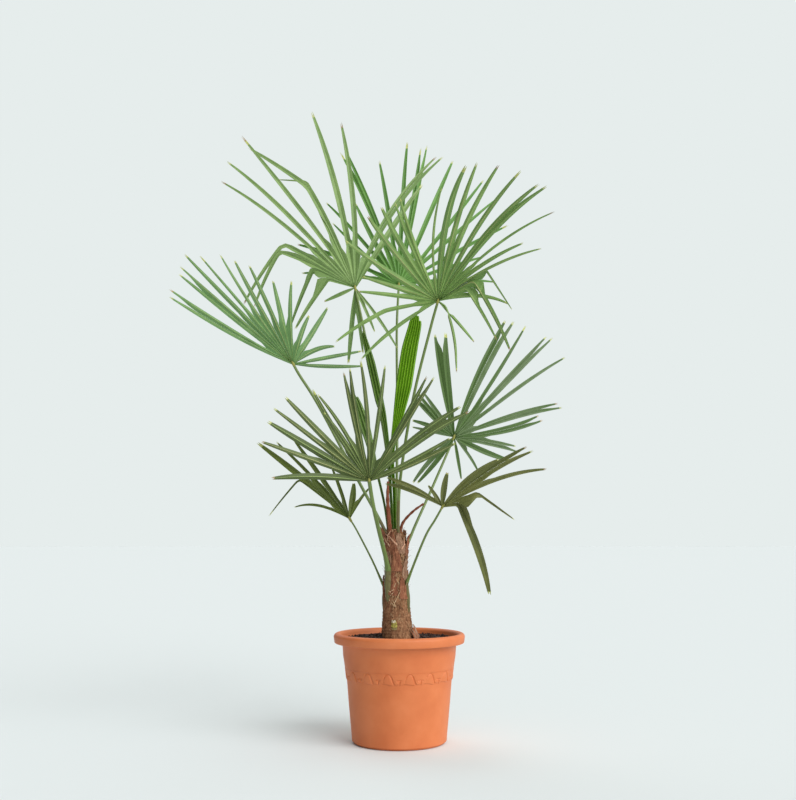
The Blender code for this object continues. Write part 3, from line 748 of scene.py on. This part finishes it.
# leaf materials: leathery blades, ribs, dry tips
def leafBlade(name, colour, shade, roughness=0.5):
    # leathery fan leaflet: fine veins along it and a soft waxy gloss. Real veins are finer than the
    # 1.6 mm used here, which is what shows.
    material, tree, shader = newMaterial(name, Roughness=roughness)
    shader.inputs["Specular IOR Level"].default_value = 0.3
    cloud = colourRamp(tree, noiseOn(tree, "Object", 22.0, 4.0), [(0.32, shade), (0.62, colour)])
    veins = noiseOn(tree, "UV", 1.0, 2.0, stretch=(625.0, 12.0, 1.0))
    lines = colourRamp(tree, veins, [(0.35, "#c6c6c6"), (0.6, "#ffffff")])
    mix = addNode(tree, "ShaderNodeMix", {"data_type": "RGBA", "blend_type": "MULTIPLY"})
    mix.inputs["Factor"].default_value = 0.55
    tree.links.new(cloud.outputs["Color"], mix.inputs["A"])
    tree.links.new(lines.outputs["Color"], mix.inputs["B"])
    tree.links.new(mix.outputs["Result"], shader.inputs["Base Color"])
    emboss(tree, shader, veins, 0.25, 0.0006)
    return material


ribGreen = leafBlade("leaf rib pale green", "#a6bb72", "#93aa63", 0.5)
ribStraw = leafBlade("leaf rib straw", "#b3b478", "#a1a469", 0.5)
tipYellow = leafBlade("leaf tip yellowing", "#c3c777", "#a9b065", 0.55)
tipDry = leafBlade("leaf tip dried", "#b39a70", "#93805c", 0.7)
heart = leafBlade("leaf heart yellow green", "#a3a052", "#8a8a42", 0.55)

# each frond's look: upper and lower colours with their shades, which side faces the front, and how slim
# its stalk is beside the solid's
frondLooks = {
    "top_right": {"upper": ("#7fa258", "#6b8e4a"), "under": ("#8aac61", "#769853"), "fold": -1, "slim": 0.82},
    "front": {"upper": ("#61713f", "#516234"), "under": ("#6a7948", "#58683b"), "fold": -1, "slim": 0.88},
    "low_right": {"upper": ("#797d45", "#676d3a"), "under": ("#828751", "#707643"), "fold": 1, "slim": 0.66},
    "left": {"upper": ("#699255", "#598047"), "under": ("#749a61", "#638852"), "fold": -1, "slim": 0.88},
    "low_left": {"upper": ("#667531", "#556427"), "under": ("#75813b", "#627131"), "fold": 1, "slim": 0.60},
    "right": {"upper": ("#687c56", "#516c38"), "under": ("#75845f", "#617448"), "fold": 1, "slim": 0.75},
    "top_left": {"upper": ("#88a463", "#749254"), "under": ("#95ae70", "#819b61"), "fold": 1, "slim": 0.80},
    "back": {"upper": ("#6a9749", "#5b893d"), "under": ("#76a156", "#689249"), "fold": 1, "slim": 0.80},
}


def leaf(angle, reach, droop=6, sway=0, wide=12, bend=None):
    # fan angle, reach, how far it droops and sways by its tip, width in mm, where and how far it is snapped
    return {"angle": angle, "reach": reach, "droop": droop, "sway": sway, "wide": wide / 1000, "bend": bend}


# the fans follow the same rule and sizes as the solids: hub, swing back, stalk through its points, leaflets
fronds = {
    "top_right": {
        "hub": (0.088, -0.120, 0.990), "swing": (-10, -8, -18), "thick": (0.0045, 0.0036),
        "stalk": ((-0.003, -0.013, 0.462), (0.002, -0.030, 0.588), (0.031, -0.080, 0.768),
                  (0.070, -0.110, 0.925)),
        "leaves": (
            leaf(89, 0.331, 33, -13, 15), leaf(79, 0.325, 8, -8), leaf(73, 0.338, 9, -13),
            leaf(63, 0.352, 17, -6, 11), leaf(53, 0.366, 29, 2, 20), leaf(45, 0.336, 19, -10, 6),
            leaf(40, 0.240, 12, -12, 9), leaf(33, 0.269, 16, -10, 7), leaf(31, 0.245, 0, 0, 6, (0.51, 87)),
            leaf(27, 0.282, 11, -3, 12, (0.32, 80)), leaf(20, 0.214, 9, 0, 10, (0.32, 74)),
            leaf(10, 0.170, 35, -8, 9), leaf(312, 0.127, 5, 0, 7), leaf(325, 0.177, 20, -7, 7, (0.10, 35)),
            leaf(103, 0.262, 8, -28, 6), leaf(120, 0.249, 5, -14, 17), leaf(130, 0.249, 0, -13, 15),
            leaf(138, 0.250, 5, -15, 14), leaf(154, 0.251, 0, -10, 13), leaf(164, 0.181, 6, -5, 11),
            leaf(174, 0.184, 10, -7, 10), leaf(189, 0.258, 20, -3, 10, (0.46, 14)),
            leaf(208, 0.222, 12, 9, 9)),
    },
    "front": {
        "hub": (-0.066, -0.150, 0.579), "swing": (-12, 6, -12), "thick": (0.0060, 0.0048),
        "stalk": ((-0.022, -0.012, 0.356), (-0.030, -0.036, 0.406), (-0.046, -0.080, 0.473),
                  (-0.058, -0.125, 0.528)),
        "leaves": (
            leaf(174, 0.218, 13, 1, 15), leaf(160, 0.258, 0, 2), leaf(153, 0.265, 5, -9, 16),
            leaf(144, 0.272, 4, -4, 11), leaf(138, 0.270, 3, -7, 14), leaf(127, 0.247, 3, -12, 10),
            leaf(120, 0.193, 12, 0, 8), leaf(113, 0.235, 10, 10, 9), leaf(104, 0.265, 8, -8, 17),
            leaf(89, 0.280, 10, 8, 10), leaf(80, 0.268, 9, 5, 10), leaf(57, 0.275, 4, 6, 17),
            leaf(43, 0.271, 11, -6, 24), leaf(20, 0.210, 2, 12, 18)),
    },
    "low_right": {
        "hub": (0.097, -0.100, 0.526), "swing": (-5, -15, -5), "thick": (0.0045, 0.0036),
        "stalk": ((0.010, -0.008, 0.330), (0.024, -0.022, 0.372), (0.058, -0.070, 0.458),
                  (0.080, -0.090, 0.496)),
        "leaves": (
            leaf(146, 0.144, 13, 10, 17), leaf(123, 0.057, 5, 0, 9), leaf(88, 0.078, 12, -7, 14),
            leaf(52, 0.171, 16, -13, 11), leaf(40, 0.242, 13, -4, 18), leaf(32, 0.255, 18, -12, 10),
            leaf(21, 0.188, 0, 0, 6, (0.44, 55)), leaf(10, 0.248, 15, -4, 18, (0.14, 72))),
    },
    "left": {
        "hub": (-0.250, -0.020, 0.862), "swing": (17, 37, 3), "thick": (0.0045, 0.0036),
        "stalk": ((-0.026, -0.006, 0.458), (-0.052, -0.008, 0.509), (-0.091, -0.012, 0.580),
                  (-0.186, -0.018, 0.758), (-0.234, -0.020, 0.834)),
        "leaves": (
            leaf(156, 0.333, 2, -11, 19), leaf(143, 0.348, 4, -7, 19), leaf(136, 0.364, 0, -2, 12),
            leaf(131, 0.340, 0, 0, 8), leaf(127, 0.318, -3, -4, 9), leaf(121, 0.294, -2, -1, 14),
            leaf(112, 0.272, -1, 6, 12), leaf(105, 0.229, 5, -3, 14), leaf(97, 0.247, 13, -7, 12),
            leaf(81, 0.163, 13, -2, 14), leaf(65, 0.220, 3, 5, 15), leaf(50, 0.174, 25, -4, 12),
            leaf(25, 0.276, 0, 0, 10), leaf(8, 0.272, 0, 8, 10)),
    },
    "low_left": {
        "hub": (-0.118, 0.060, 0.501), "swing": (13, -10, 4), "thick": (0.0042, 0.0032),
        "stalk": ((-0.022, 0.003, 0.318), (-0.038, 0.010, 0.350), (-0.064, 0.033, 0.405),
                  (-0.100, 0.055, 0.472)),
        "leaves": (
            leaf(141, 0.302, 9, 0, 6, (0.57, 74)), leaf(138, 0.340, -3, 9, 16), leaf(132, 0.303, 7, 0, 9),
            leaf(125, 0.270, 1, 2, 12), leaf(150, 0.165, 45, 0, 7), leaf(80, 0.093, 7, 11, 16),
            leaf(66, 0.095, 15, -6, 8), leaf(108, 0.150, 10, 0, 9)),
    },
    "right": {
        "hub": (0.134, 0.100, 0.701), "swing": (10, 15, 6), "thick": (0.0048, 0.0038),
        "stalk": ((0.006, 0.010, 0.425), (0.023, 0.020, 0.451), (0.038, 0.034, 0.486), (0.079, 0.070, 0.575),
                  (0.122, 0.100, 0.672)),
        "leaves": (
            leaf(99, 0.298, 8, -8, 30), leaf(69, 0.397, 2, -9, 26), leaf(54, 0.414, 5, 10, 10),
            leaf(47, 0.445, 8, 6, 18), leaf(39, 0.442, 14, 7, 10), leaf(23, 0.347, 10, 0, 18),
            leaf(6, 0.271, -4, 15, 18), leaf(354, 0.184, 12, 6, 17), leaf(334, 0.169, -5, 8, 15),
            leaf(313, 0.112, 20, 0, 8), leaf(280, 0.106, 0, 0, 9), leaf(237, 0.146, 5, -15, 12),
            leaf(222, 0.153, 10, 5, 12), leaf(124, 0.134, 4, -5, 12), leaf(135, 0.143, 1, -8, 19),
            leaf(153, 0.111, 11, 2, 12), leaf(166, 0.106, 6, -3, 8)),
    },
    "top_left": {
        "hub": (-0.109, 0.070, 1.069), "swing": (8, 5, 3), "thick": (0.0045, 0.0036),
        "stalk": ((-0.018, 0.007, 0.462), (-0.019, 0.012, 0.544), (-0.034, 0.028, 0.687),
                  (-0.070, 0.052, 0.880)),
        "leaves": (
            leaf(137, 0.467, 24, -13, 10), leaf(131, 0.500, 19, -9, 12), leaf(121, 0.518, -10, 17, 12),
            leaf(115, 0.419, 7, -8, 10, (0.76, 51)), leaf(110, 0.511, 0, 15, 15, (0.59, 21)),
            leaf(98, 0.521, 1, 11, 16), leaf(89, 0.478, 0, 13, 14), leaf(74, 0.460, 0, -28, 18),
            leaf(62, 0.352, 5, 0, 15), leaf(143, 0.398, 16, 6, 12, (0.53, 79)),
            leaf(148, 0.367, 20, 5, 12, (0.57, 81)), leaf(153, 0.265, 10, 0, 12, (0.42, 90)),
            leaf(160, 0.219, 9, 2, 12, (0.31, 71)), leaf(204, 0.084, 0, 0, 10), leaf(265, 0.190, 0, 0, 12),
            leaf(277, 0.165, 0, 0, 9), leaf(296, 0.120, 5, 0, 8), leaf(309, 0.183, 10, 0, 8)),
    },
    "back": {
        "hub": (-0.001, 0.140, 1.094), "swing": (12, 5, 4), "thick": (0.0045, 0.0036),
        "stalk": ((-0.009, 0.013, 0.462), (-0.006, 0.026, 0.560), (-0.005, 0.075, 0.786),
                  (-0.006, 0.120, 0.973)),
        "leaves": (
            leaf(107, 0.452, 1, 7, 18), leaf(119, 0.274, 2, -8, 13), leaf(127, 0.325, 13, -7, 10),
            leaf(137, 0.256, 1, -7, 9), leaf(97, 0.400, 6, 0, 12), leaf(88, 0.478, 9, -1, 12),
            leaf(80, 0.467, 7, 4, 17), leaf(68, 0.448, 10, 8, 13), leaf(53, 0.427, 3, 6, 11),
            leaf(46, 0.407, 8, 6, 10), leaf(35, 0.376, 6, 2, 10), leaf(25, 0.258, 6, 2, 10),
            leaf(12, 0.270, 14, 0, 11), leaf(150, 0.300, 14, 0, 12), leaf(164, 0.260, 18, 0, 12)),
    },
}


def heading(swing, angle):
    # direction of a leaflet at a fan angle, standing back from the front plane by the swing
    turn = math.radians(angle)
    back = math.radians(swing[0] + swing[1] * math.cos(turn) + swing[2] * math.sin(turn))
    return Vector((math.cos(back) * math.cos(turn), math.sin(back), math.cos(back) * math.sin(turn)))


def leafLine(frond, one, nudge=0.0, steps=44):
    # middle points, sideways and upward directions of a leaflet at equal steps of its reach
    swing = (frond["swing"][0] + nudge, frond["swing"][1], frond["swing"][2])
    point = Vector(frond["hub"])
    found = []
    for step in range(steps + 1):
        share = step / steps
        angle = one["angle"] + one["sway"] * share
        ahead = heading(swing, angle)
        rise = math.degrees(math.asin(ahead.z)) - one["droop"] * share ** 1.6
        if one["bend"]:
            rise -= one["bend"][1] * min(max((share - one["bend"][0] + 0.03) / 0.06, 0), 1)
        rise = math.radians(max(rise, -88))
        level = Vector((ahead.x, ahead.y, 0)).normalized()
        tilted = level * math.cos(rise) + Vector((0, 0, math.sin(rise)))
        fan = heading(swing, angle + 1) - ahead
        start = math.asin(ahead.z)
        upright = level * -math.sin(start) + Vector((0, 0, math.cos(start)))
        out = level.cross(Vector((0, 0, 1)))
        risen = level * -math.sin(rise) + Vector((0, 0, math.cos(rise)))
        across = (out * fan.dot(out) + risen * fan.dot(upright)).normalized()
        found.append((point.copy(), across, tilted.cross(across)))
        point = point + tilted * (one["reach"] / steps)
    return found


def lineAt(line, share):
    place = min(max(share, 0), 1) * (len(line) - 1)
    low = min(int(place), len(line) - 2)
    t = place - low
    return tuple(line[low][k].lerp(line[low + 1][k], t) for k in range(3))


bladePlan = {
    "stations": (0.0, 0.03, 0.06, 0.10, 0.14, 0.18, 0.22, 0.26, 0.30, 0.34, 0.38, 0.43, 0.48, 0.53, 0.58,
                 0.63, 0.68, 0.73, 0.78, 0.83, 0.87, 0.91, 0.94, 0.965),
    # half widths, and the degrees that each half stands up, both at equal shares of the reach
    "widths": (0.30, 0.50, 0.74, 0.90, 0.98, 1.0, 0.97, 0.89, 0.77, 0.60, 0.36),
    "folds": (52, 44, 36, 30, 26, 22, 20, 18, 16, 14, 12),
    "thick": 0.00035, "rib": 0.0005,
    # leaflets closer than webGap degrees are joined for a share of their reach
    "webGap": 24, "fuseLow": 0.20, "fuseHigh": 0.50, "stretch": 1.35,
    # leaflets wider than pairFrom are two, joined almost to their tips
    "pairFrom": 0.0165, "pairFuse": 0.84, "pairWide": 0.56, "pairReach": 0.975,
}


def addBlade(bag, centres, normals, lefts, rights, shares, looks, split=True, thick=None, rib=None):
    # one folded leaflet from its middle line and its two edges; normals point to its upper side
    thick = thick or bladePlan["thick"]
    rib = bladePlan["rib"] if rib is None else rib
    base = len(bag["vertices"])
    count = len(centres)
    along = 0.0
    for index in range(count):
        c, n, l, r = centres[index], normals[index], lefts[index], rights[index]
        if index:
            along += (c - centres[index - 1]).length
        fade = 1.0 - 0.75 * shares[index]
        bulge = n * thick * 0.8
        low = n * thick
        section = [l, (c + l) / 2 + low + bulge, c + low, (c + r) / 2 + low + bulge, r,
                   c * 0.9 + r * 0.1 - low, c - n * (thick + rib * fade), c * 0.9 + l * 0.1 - low]
        wide = (r - l).length
        bag["vertices"] += [tuple(p) for p in section]
        bag["uvs"] += [((k - 0.5) * wide + bag["shift"], along)
                       for k in (0, 0.25, 0.5, 0.75, 1.0, 0.55, 0.5, 0.45)]
    upper, under, ribMark = looks["upper"], looks["under"], looks["rib"]
    yellow, dry = looks["yellow"], looks["dry"]
    kinds = [upper, upper, upper, upper, under, ribMark, ribMark, under]
    for index in range(count - 1):
        bag["faces"] += ringFaces(base + 8 * index, base + 8 * index + 8, 8)
        if shares[index] >= looks["dryFrom"]:
            bag["marks"] += [dry] * 8
        elif shares[index] >= looks["yellowFrom"]:
            bag["marks"] += [yellow] * 8
        else:
            bag["marks"] += kinds
    for half in ((0, 7, 6, 2, 1), (2, 6, 5, 4, 3)):       # the foot is closed in two halves along the rib
        bag["faces"].append(tuple(base + corner for corner in half))
        bag["marks"].append(under)
    end = base + 8 * (count - 1)
    last, before = centres[-1], centres[-2]
    ahead = (last - before).normalized()
    reach = looks["length"] * (1 - shares[-1]) if split else looks["length"] * 0.01
    tips = []
    for edge, stretch in ((lefts[-1], looks["tips"][0]), (rights[-1], looks["tips"][1])):
        point = last.lerp(edge, 0.55) + ahead * reach * stretch
        tips.append(len(bag["vertices"]))
        bag["vertices"].append(tuple(point))
        bag["uvs"].append((bag["shift"], along + reach))
    mark = dry if looks["dryFrom"] < 1.01 else yellow
    for tip, loop in ((tips[0], (0, 1, 2, 6, 7)), (tips[1], (2, 3, 4, 5, 6))):
        for a, b in zip(loop, loop[1:] + loop[:1]):
            bag["faces"].append((end + a, end + b, tip))
            bag["marks"].append(mark)


def pairedLeaves(leaves):
    # the widest leaflets are two that part only near their tips
    found = []
    for one in sorted(leaves, key=lambda one: one["angle"]):
        if one["wide"] < bladePlan["pairFrom"] or one["bend"]:
            found.append(dict(one, pair=None))
            continue
        offset = math.degrees(one["wide"] / 4 / (one["reach"] * 0.58))
        for side, reach in ((-1, 1.0), (1, bladePlan["pairReach"])):
            found.append(dict(one, angle=one["angle"] + side * offset, reach=one["reach"] * reach,
                              wide=one["wide"] * bladePlan["pairWide"], pair=one["angle"]))
    return found


# the small crest where a stalk meets its fan: place along the stalk's end and radius
crestPlan = {"sides": 10,
             "rings": ((-0.009, 0.0022), (-0.005, 0.0030), (0.000, 0.0034), (0.004, 0.0026), (0.007, 0.0012))}


def buildFrond(name, frond, looks):
    draw = random.Random(name)
    bag = newBag()
    fold = looks["fold"]
    ordered = pairedLeaves(frond["leaves"])
    lines = []
    for index, one in enumerate(ordered):
        gap = (one["angle"] - ordered[index - 1]["angle"]) % 360
        paired = one["pair"] is not None and one["pair"] == ordered[index - 1]["pair"]
        nudge = (index % 2) * 5.0 if gap < 5 and not paired and one["pair"] is None else 0.0
        lines.append(leafLine(frond, one, nudge))
    count = len(ordered)
    plan = bladePlan
    for index, one in enumerate(ordered):
        line = lines[index]
        bag["shift"] = draw.uniform(0, 9)
        tone = draw.choice((0, 0, 1))
        looksHere = {
            "upper": tone, "under": 2 + tone, "rib": draw.choice((4, 4, 5)), "yellow": 6, "dry": 7,
            "yellowFrom": draw.choice((0.93, 0.95, 0.96, 1.1)),
            "dryFrom": draw.choice((0.96, 1.1, 1.1, 1.1)),
            "length": one["reach"], "tips": (draw.uniform(0.75, 1.15), draw.uniform(0.75, 1.15)),
        }
        neighbours = []
        for side, other in ((-1, (index - 1) % count), (1, (index + 1) % count)):
            gap = ((ordered[other]["angle"] - one["angle"]) * side) % 360
            if count > 1 and 1.0 < gap < plan["webGap"]:
                near = min(one["reach"], ordered[other]["reach"])
                wide = (one["wide"] + ordered[other]["wide"]) / 4
                natural = plan["stretch"] * wide / math.sin(math.radians(gap / 2))
                fuse = min(max(natural, plan["fuseLow"] * near), plan["fuseHigh"] * near)
                if one["pair"] is not None and one["pair"] == ordered[other]["pair"]:
                    fuse = plan["pairFuse"] * near
                neighbours.append((side, other, fuse))
            else:
                neighbours.append((side, None, 0))
        roll = draw.uniform(-10, 10)
        centres, normals, lefts, rights, shares = [], [], [], [], []
        stations = set(plan["stations"])
        if one["bend"]:
            stations |= {one["bend"][0] + step for step in (-0.035, 0, 0.035)}
        for share in sorted(stations):
            share = min(max(share, 0), plan["stations"][-1])
            centre, across, up = lineAt(line, share)
            turnBy = math.radians(roll * share)
            across = (across * math.cos(turnBy) + up * math.sin(turnBy)).normalized()
            up = (up - across * up.dot(across)).normalized() * fold
            half = one["wide"] / 2 * spread(plan["widths"], share)
            stand = half * math.tan(math.radians(spread(plan["folds"], share)))
            edges = []
            for side, other, fuse in neighbours:
                free = centre + across * half * side + up * stand
                if other is not None:
                    distance = share * one["reach"]
                    blend = min(max((fuse * 1.12 - distance) / (fuse * 0.20), 0), 1)
                    if blend > 0:
                        there, _, upThere = lineAt(lines[other], distance / ordered[other]["reach"])
                        gapHalf = (there - centre) / 2
                        lift = (up + upThere * fold).normalized() * gapHalf.length * 0.75
                        shared = centre + gapHalf + lift
                        free = free.lerp(shared, blend * blend * (3 - 2 * blend))
                edges.append(free)
            centres.append(centre)
            normals.append(up)
            rights.append(edges[1])
            lefts.append(edges[0])
            shares.append(share)
        addBlade(bag, centres, normals, lefts, rights, shares, looksHere)
    # the small crest where the stalk meets the fan
    hub = Vector(frond["hub"])
    ahead = (hub - Vector(frond["stalk"][-1])).normalized()
    side = ahead.orthogonal().normalized()
    other = ahead.cross(side)
    base = len(bag["vertices"])
    sides = crestPlan["sides"]
    for ring, (place, radius) in enumerate(crestPlan["rings"]):
        bag["vertices"] += ringAt(hub + ahead * place, side, other, radius, radius, sides)
        bag["uvs"] += [(step * 0.003, place) for step in range(sides)]
        if ring:
            bag["faces"] += ringFaces(base + sides * (ring - 1), base + sides * ring, sides)
    end = base + sides * (len(crestPlan["rings"]) - 1)
    bag["faces"] += [tuple(range(base, base + sides)), tuple(range(end, end + sides))]
    bag["marks"] += [8] * (sides * (len(crestPlan["rings"]) - 1) + 2)
    upper, under = looks["upper"], looks["under"]
    materials = [leafBlade("leaf upper " + name, *upper),
                 leafBlade("leaf upper shaded " + name, upper[1], upper[1]),
                 leafBlade("leaf under " + name, *under, 0.55),
                 leafBlade("leaf under shaded " + name, under[1], under[1], 0.55),
                 ribGreen, ribStraw, tipYellow, tipDry, heart]
    return meshPiece("fan_" + name, bag["vertices"], bag["faces"], materials, bag["marks"], 32, bag["uvs"])


for name, frond in fronds.items():
    fan = buildFrond(name, frond, frondLooks[name])
    finishPiece(fan, "leaf", "frond_" + name)
print("windmill palm: fans")


# leaf stalks: smooth, a little flattened, paler to the trunk
stalkPlan = {
    "perSpan": 9, "sides": 14, "flat": 0.78,
    # the sheath foot: how far below the bark's edge, how far out, width over the stalk's own, flatness
    "sheath": ((0.070, -0.0030, 0.7, 0.35), (0.055, -0.0008, 1.35, 0.45), (0.040, 0.0004, 1.7, 0.5),
               (0.026, 0.0012, 1.75, 0.55), (0.014, 0.0022, 1.6, 0.62)),
}


def stalkGreen(name, colour, shade):
    # living leaf stalk: smooth green skin with faint lengthwise lines
    material, tree, shader = newMaterial(name, Roughness=0.38)
    lines = noiseOn(tree, "UV", 1.0, 3.0, stretch=(700.0, 18.0, 1.0))
    tint(tree, shader, lines, [(0.3, shade), (0.65, colour)])
    emboss(tree, shader, lines, 0.2, 0.0005)
    return material


def tube(name, line, halves, depths, materials, sides, markAt=None):
    # a closed tube along a line with an oval section
    vertices, faces, marks, uvs = [], [], [], []
    along = 0.0
    for index, point in enumerate(line):
        ahead = (line[min(index + 1, len(line) - 1)] - line[max(index - 1, 0)]).normalized()
        across = (Vector((1, 0, 0)) - ahead * ahead.x).normalized()
        deep = ahead.cross(across)
        if index:
            along += (point - line[index - 1]).length
        vertices += ringAt(point, across, deep, halves[index], depths[index], sides)
        uvs += [(side * 2 * math.pi * halves[index] / sides, along) for side in range(sides)]
    for index in range(len(line) - 1):
        faces += ringFaces(index * sides, (index + 1) * sides, sides)
        marks += [markAt(index / (len(line) - 1)) if markAt else 0] * sides
    faces += [tuple(range(sides))[::-1], tuple(range((len(line) - 1) * sides, len(line) * sides))]
    marks += [marks[0], marks[-1]]
    return meshPiece(name, vertices, faces, materials, marks, 50, uvs)


stalkSkin = stalkGreen("leaf stalk green", "#6f8443", "#5b6f36")
stalkFoot = stalkGreen("leaf stalk foot olive", "#6f6a38", "#5a5230")


def stalkLine(frond, slim):
    # from a broad sheath foot on the trunk's side, or from inside its top, up to the hub
    line = smoothLine(list(frond["stalk"]) + [frond["hub"]], stalkPlan["perSpan"])
    foot, top = frond["thick"]
    halves = [(foot + (top - foot) * index / (len(line) - 1)) * slim for index in range(len(line))]
    flats = [stalkPlan["flat"]] * len(line)
    if line[0].z > 0.45:
        return line, halves, flats
    out = 0
    while True:      # first point clear of the bark
        shift, radius = trunkAt(line[out].z)
        if math.hypot(line[out].x - shift, line[out].y) > radius + 0.001:
            break
        out += 1
    entry = line[out]
    shift, radius = trunkAt(entry.z)
    turn = math.atan2(entry.y, entry.x - shift)
    sheath = stalkPlan["sheath"]
    size = foot * slim
    line = [trunkPoint(turn, entry.z - drop, away) for drop, away, _, _ in sheath] + line[out:]
    halves = [size * wide for _, _, wide, _ in sheath] + [
        max(half, size * (1.45 - 0.09 * index)) for index, half in enumerate(halves[out:])]
    flats = [flat for _, _, _, flat in sheath]
    flats += [min(0.66 + 0.03 * index, stalkPlan["flat"]) for index in range(len(line) - len(sheath))]
    return line, halves, flats


for name, frond in fronds.items():
    line, halves, flats = stalkLine(frond, frondLooks[name]["slim"])
    depths = [half * flat for half, flat in zip(halves, flats)]
    stalk = tube("stem_" + name, line, halves, depths, [stalkSkin, stalkFoot], stalkPlan["sides"],
                 lambda share: 1 if share < 0.14 else 0)
    finishPiece(stalk, "stalk", "stalk_" + name)
print("windmill palm: stalks")


# young leaves, half opened: narrow folded leaflets side by side, still joined
# each "deep" pair is a darker green that paints the shade in the folds of every second pleat; it also colours
# the undersides
youngPlan = {
    "tall": {
        "pleats": 6, "fresh": ("#82b71f", "#71a715"), "deep": ("#699e14", "#5c8f0e"),
        "edge": ("#acd04e", "#97bf41"),
        "line": ((-0.010, 0.000, 0.462), (-0.012, -0.003, 0.560), (-0.016, -0.006, 0.655),
                 (-0.003, -0.010, 0.735), (0.011, -0.014, 0.813), (0.024, -0.017, 0.896),
                 (0.038, -0.020, 0.960), (0.040, -0.020, 1.000)),
        "half": (0.0035, 0.0035, 0.0045, 0.012, 0.019, 0.019, 0.015, 0.004),
    },
    "left": {
        "pleats": 3, "fresh": ("#7a9c42", "#698b38"), "deep": ("#56792c", "#496b25"),
        "edge": ("#94aa5c", "#82994e"),
        "line": ((-0.014, -0.008, 0.464), (-0.019, -0.012, 0.543), (-0.024, -0.018, 0.640),
                 (-0.035, -0.024, 0.729), (-0.047, -0.029, 0.776), (-0.066, -0.033, 0.860),
                 (-0.080, -0.034, 0.915), (-0.089, -0.034, 0.948)),
        "half": (0.0030, 0.0030, 0.0035, 0.006, 0.010, 0.010, 0.006, 0.002),
    },
    "pale": {
        "pleats": 3, "fresh": ("#86a25a", "#76934d"), "deep": ("#66863f", "#587734"),
        "edge": ("#a3b878", "#93a96a"),
        "line": ((-0.024, 0.010, 0.458), (-0.034, 0.000, 0.530), (-0.050, -0.018, 0.600),
                 (-0.068, -0.036, 0.670), (-0.080, -0.044, 0.712), (-0.095, -0.050, 0.760),
                 (-0.112, -0.052, 0.806)),
        "half": (0.0028, 0.0028, 0.0032, 0.009, 0.012, 0.009, 0.002),
    },
}


def buildYoung(name, plan):
    draw = random.Random(name)
    bag = newBag()
    line = smoothLine(plan["line"], 8)
    total = len(line) - 1
    pleats = plan["pleats"]
    for pleat in range(pleats):
        bag["shift"] = draw.uniform(0, 9)
        reach = 1.0 - draw.uniform(0, 0.07) - 0.03 * abs(pleat - (pleats - 1) / 2)
        centres, normals, lefts, rights, shares = [], [], [], [], []
        for index in range(0, total + 1):
            share = index / total
            if share > reach:
                break
            point = line[index]
            ahead = (line[min(index + 1, total)] - line[max(index - 1, 0)]).normalized()
            across = (Vector((1, 0, 0)) - ahead * ahead.x).normalized()
            up = ahead.cross(across)
            half = spread(plan["half"], share)
            cell = 2 * half / pleats
            middle = point + across * (cell * (pleat - (pleats - 1) / 2)) - up * cell * 0.12
            ridge = up * cell * 0.38
            centres.append(middle)
            normals.append(up)
            lefts.append(middle - across * cell / 2 + ridge)
            rights.append(middle + across * cell / 2 + ridge)
            shares.append(share)
        # every second pleat takes the darker colour: painted shade of its fold
        looksHere = {"upper": pleat % 2, "under": 2, "rib": 3, "yellow": 3, "dry": 3,
                     "yellowFrom": 1.1, "dryFrom": 1.1, "length": 0.20, "tips": (1, 1)}
        addBlade(bag, centres, normals, lefts, rights, shares, looksHere, split=False, thick=0.0009,
                 rib=0.0006)
    materials = [leafBlade("young leaf fresh " + name, *plan["fresh"], 0.4),
                 # painted fold shade for every second pleat, in the darker colours
                 leafBlade("young leaf painted fold shade " + name, *plan["deep"], 0.4),
                 leafBlade("young leaf under " + name, *plan["deep"], 0.5),
                 leafBlade("young leaf edge " + name, *plan["edge"], 0.5)]
    return meshPiece("opening_" + name, bag["vertices"], bag["faces"], materials, bag["marks"], 32,
                     bag["uvs"])


for name, plan in youngPlan.items():
    finishPiece(buildYoung(name, plan), "young_leaf", "young_leaf_" + name)

# brown leftovers of cut leaves
oldPlan = {
    "old_base_upright": {"line": ((-0.020, -0.013, 0.462), (-0.024, -0.016, 0.500), (-0.027, -0.017, 0.545),
                                  (-0.026, -0.017, 0.586)), "half": (0.0050, 0.0048, 0.0040, 0.0026)},
    "old_base_slanted": {"line": ((0.001, -0.004, 0.462), (0.008, -0.012, 0.490), (0.030, -0.026, 0.515),
                                  (0.056, -0.032, 0.534)), "half": (0.0040, 0.0034, 0.0030, 0.0022)},
}
oldBark = fibreWood("dry leaf base", "#5c3120", "#834a35", "#9f6a4c")
for name, plan in oldPlan.items():
    line = smoothLine(plan["line"], 8)
    halves = [spread(plan["half"], index / (len(line) - 1)) * (1 + 0.12 * math.sin(index * 1.7))
              for index in range(len(line))]
    stub = tube("dry_" + name, line, halves, [half * 0.7 for half in halves], [oldBark], 12)
    finishPiece(stub, "old_base", name)
print("windmill palm: young leaves and old bases")
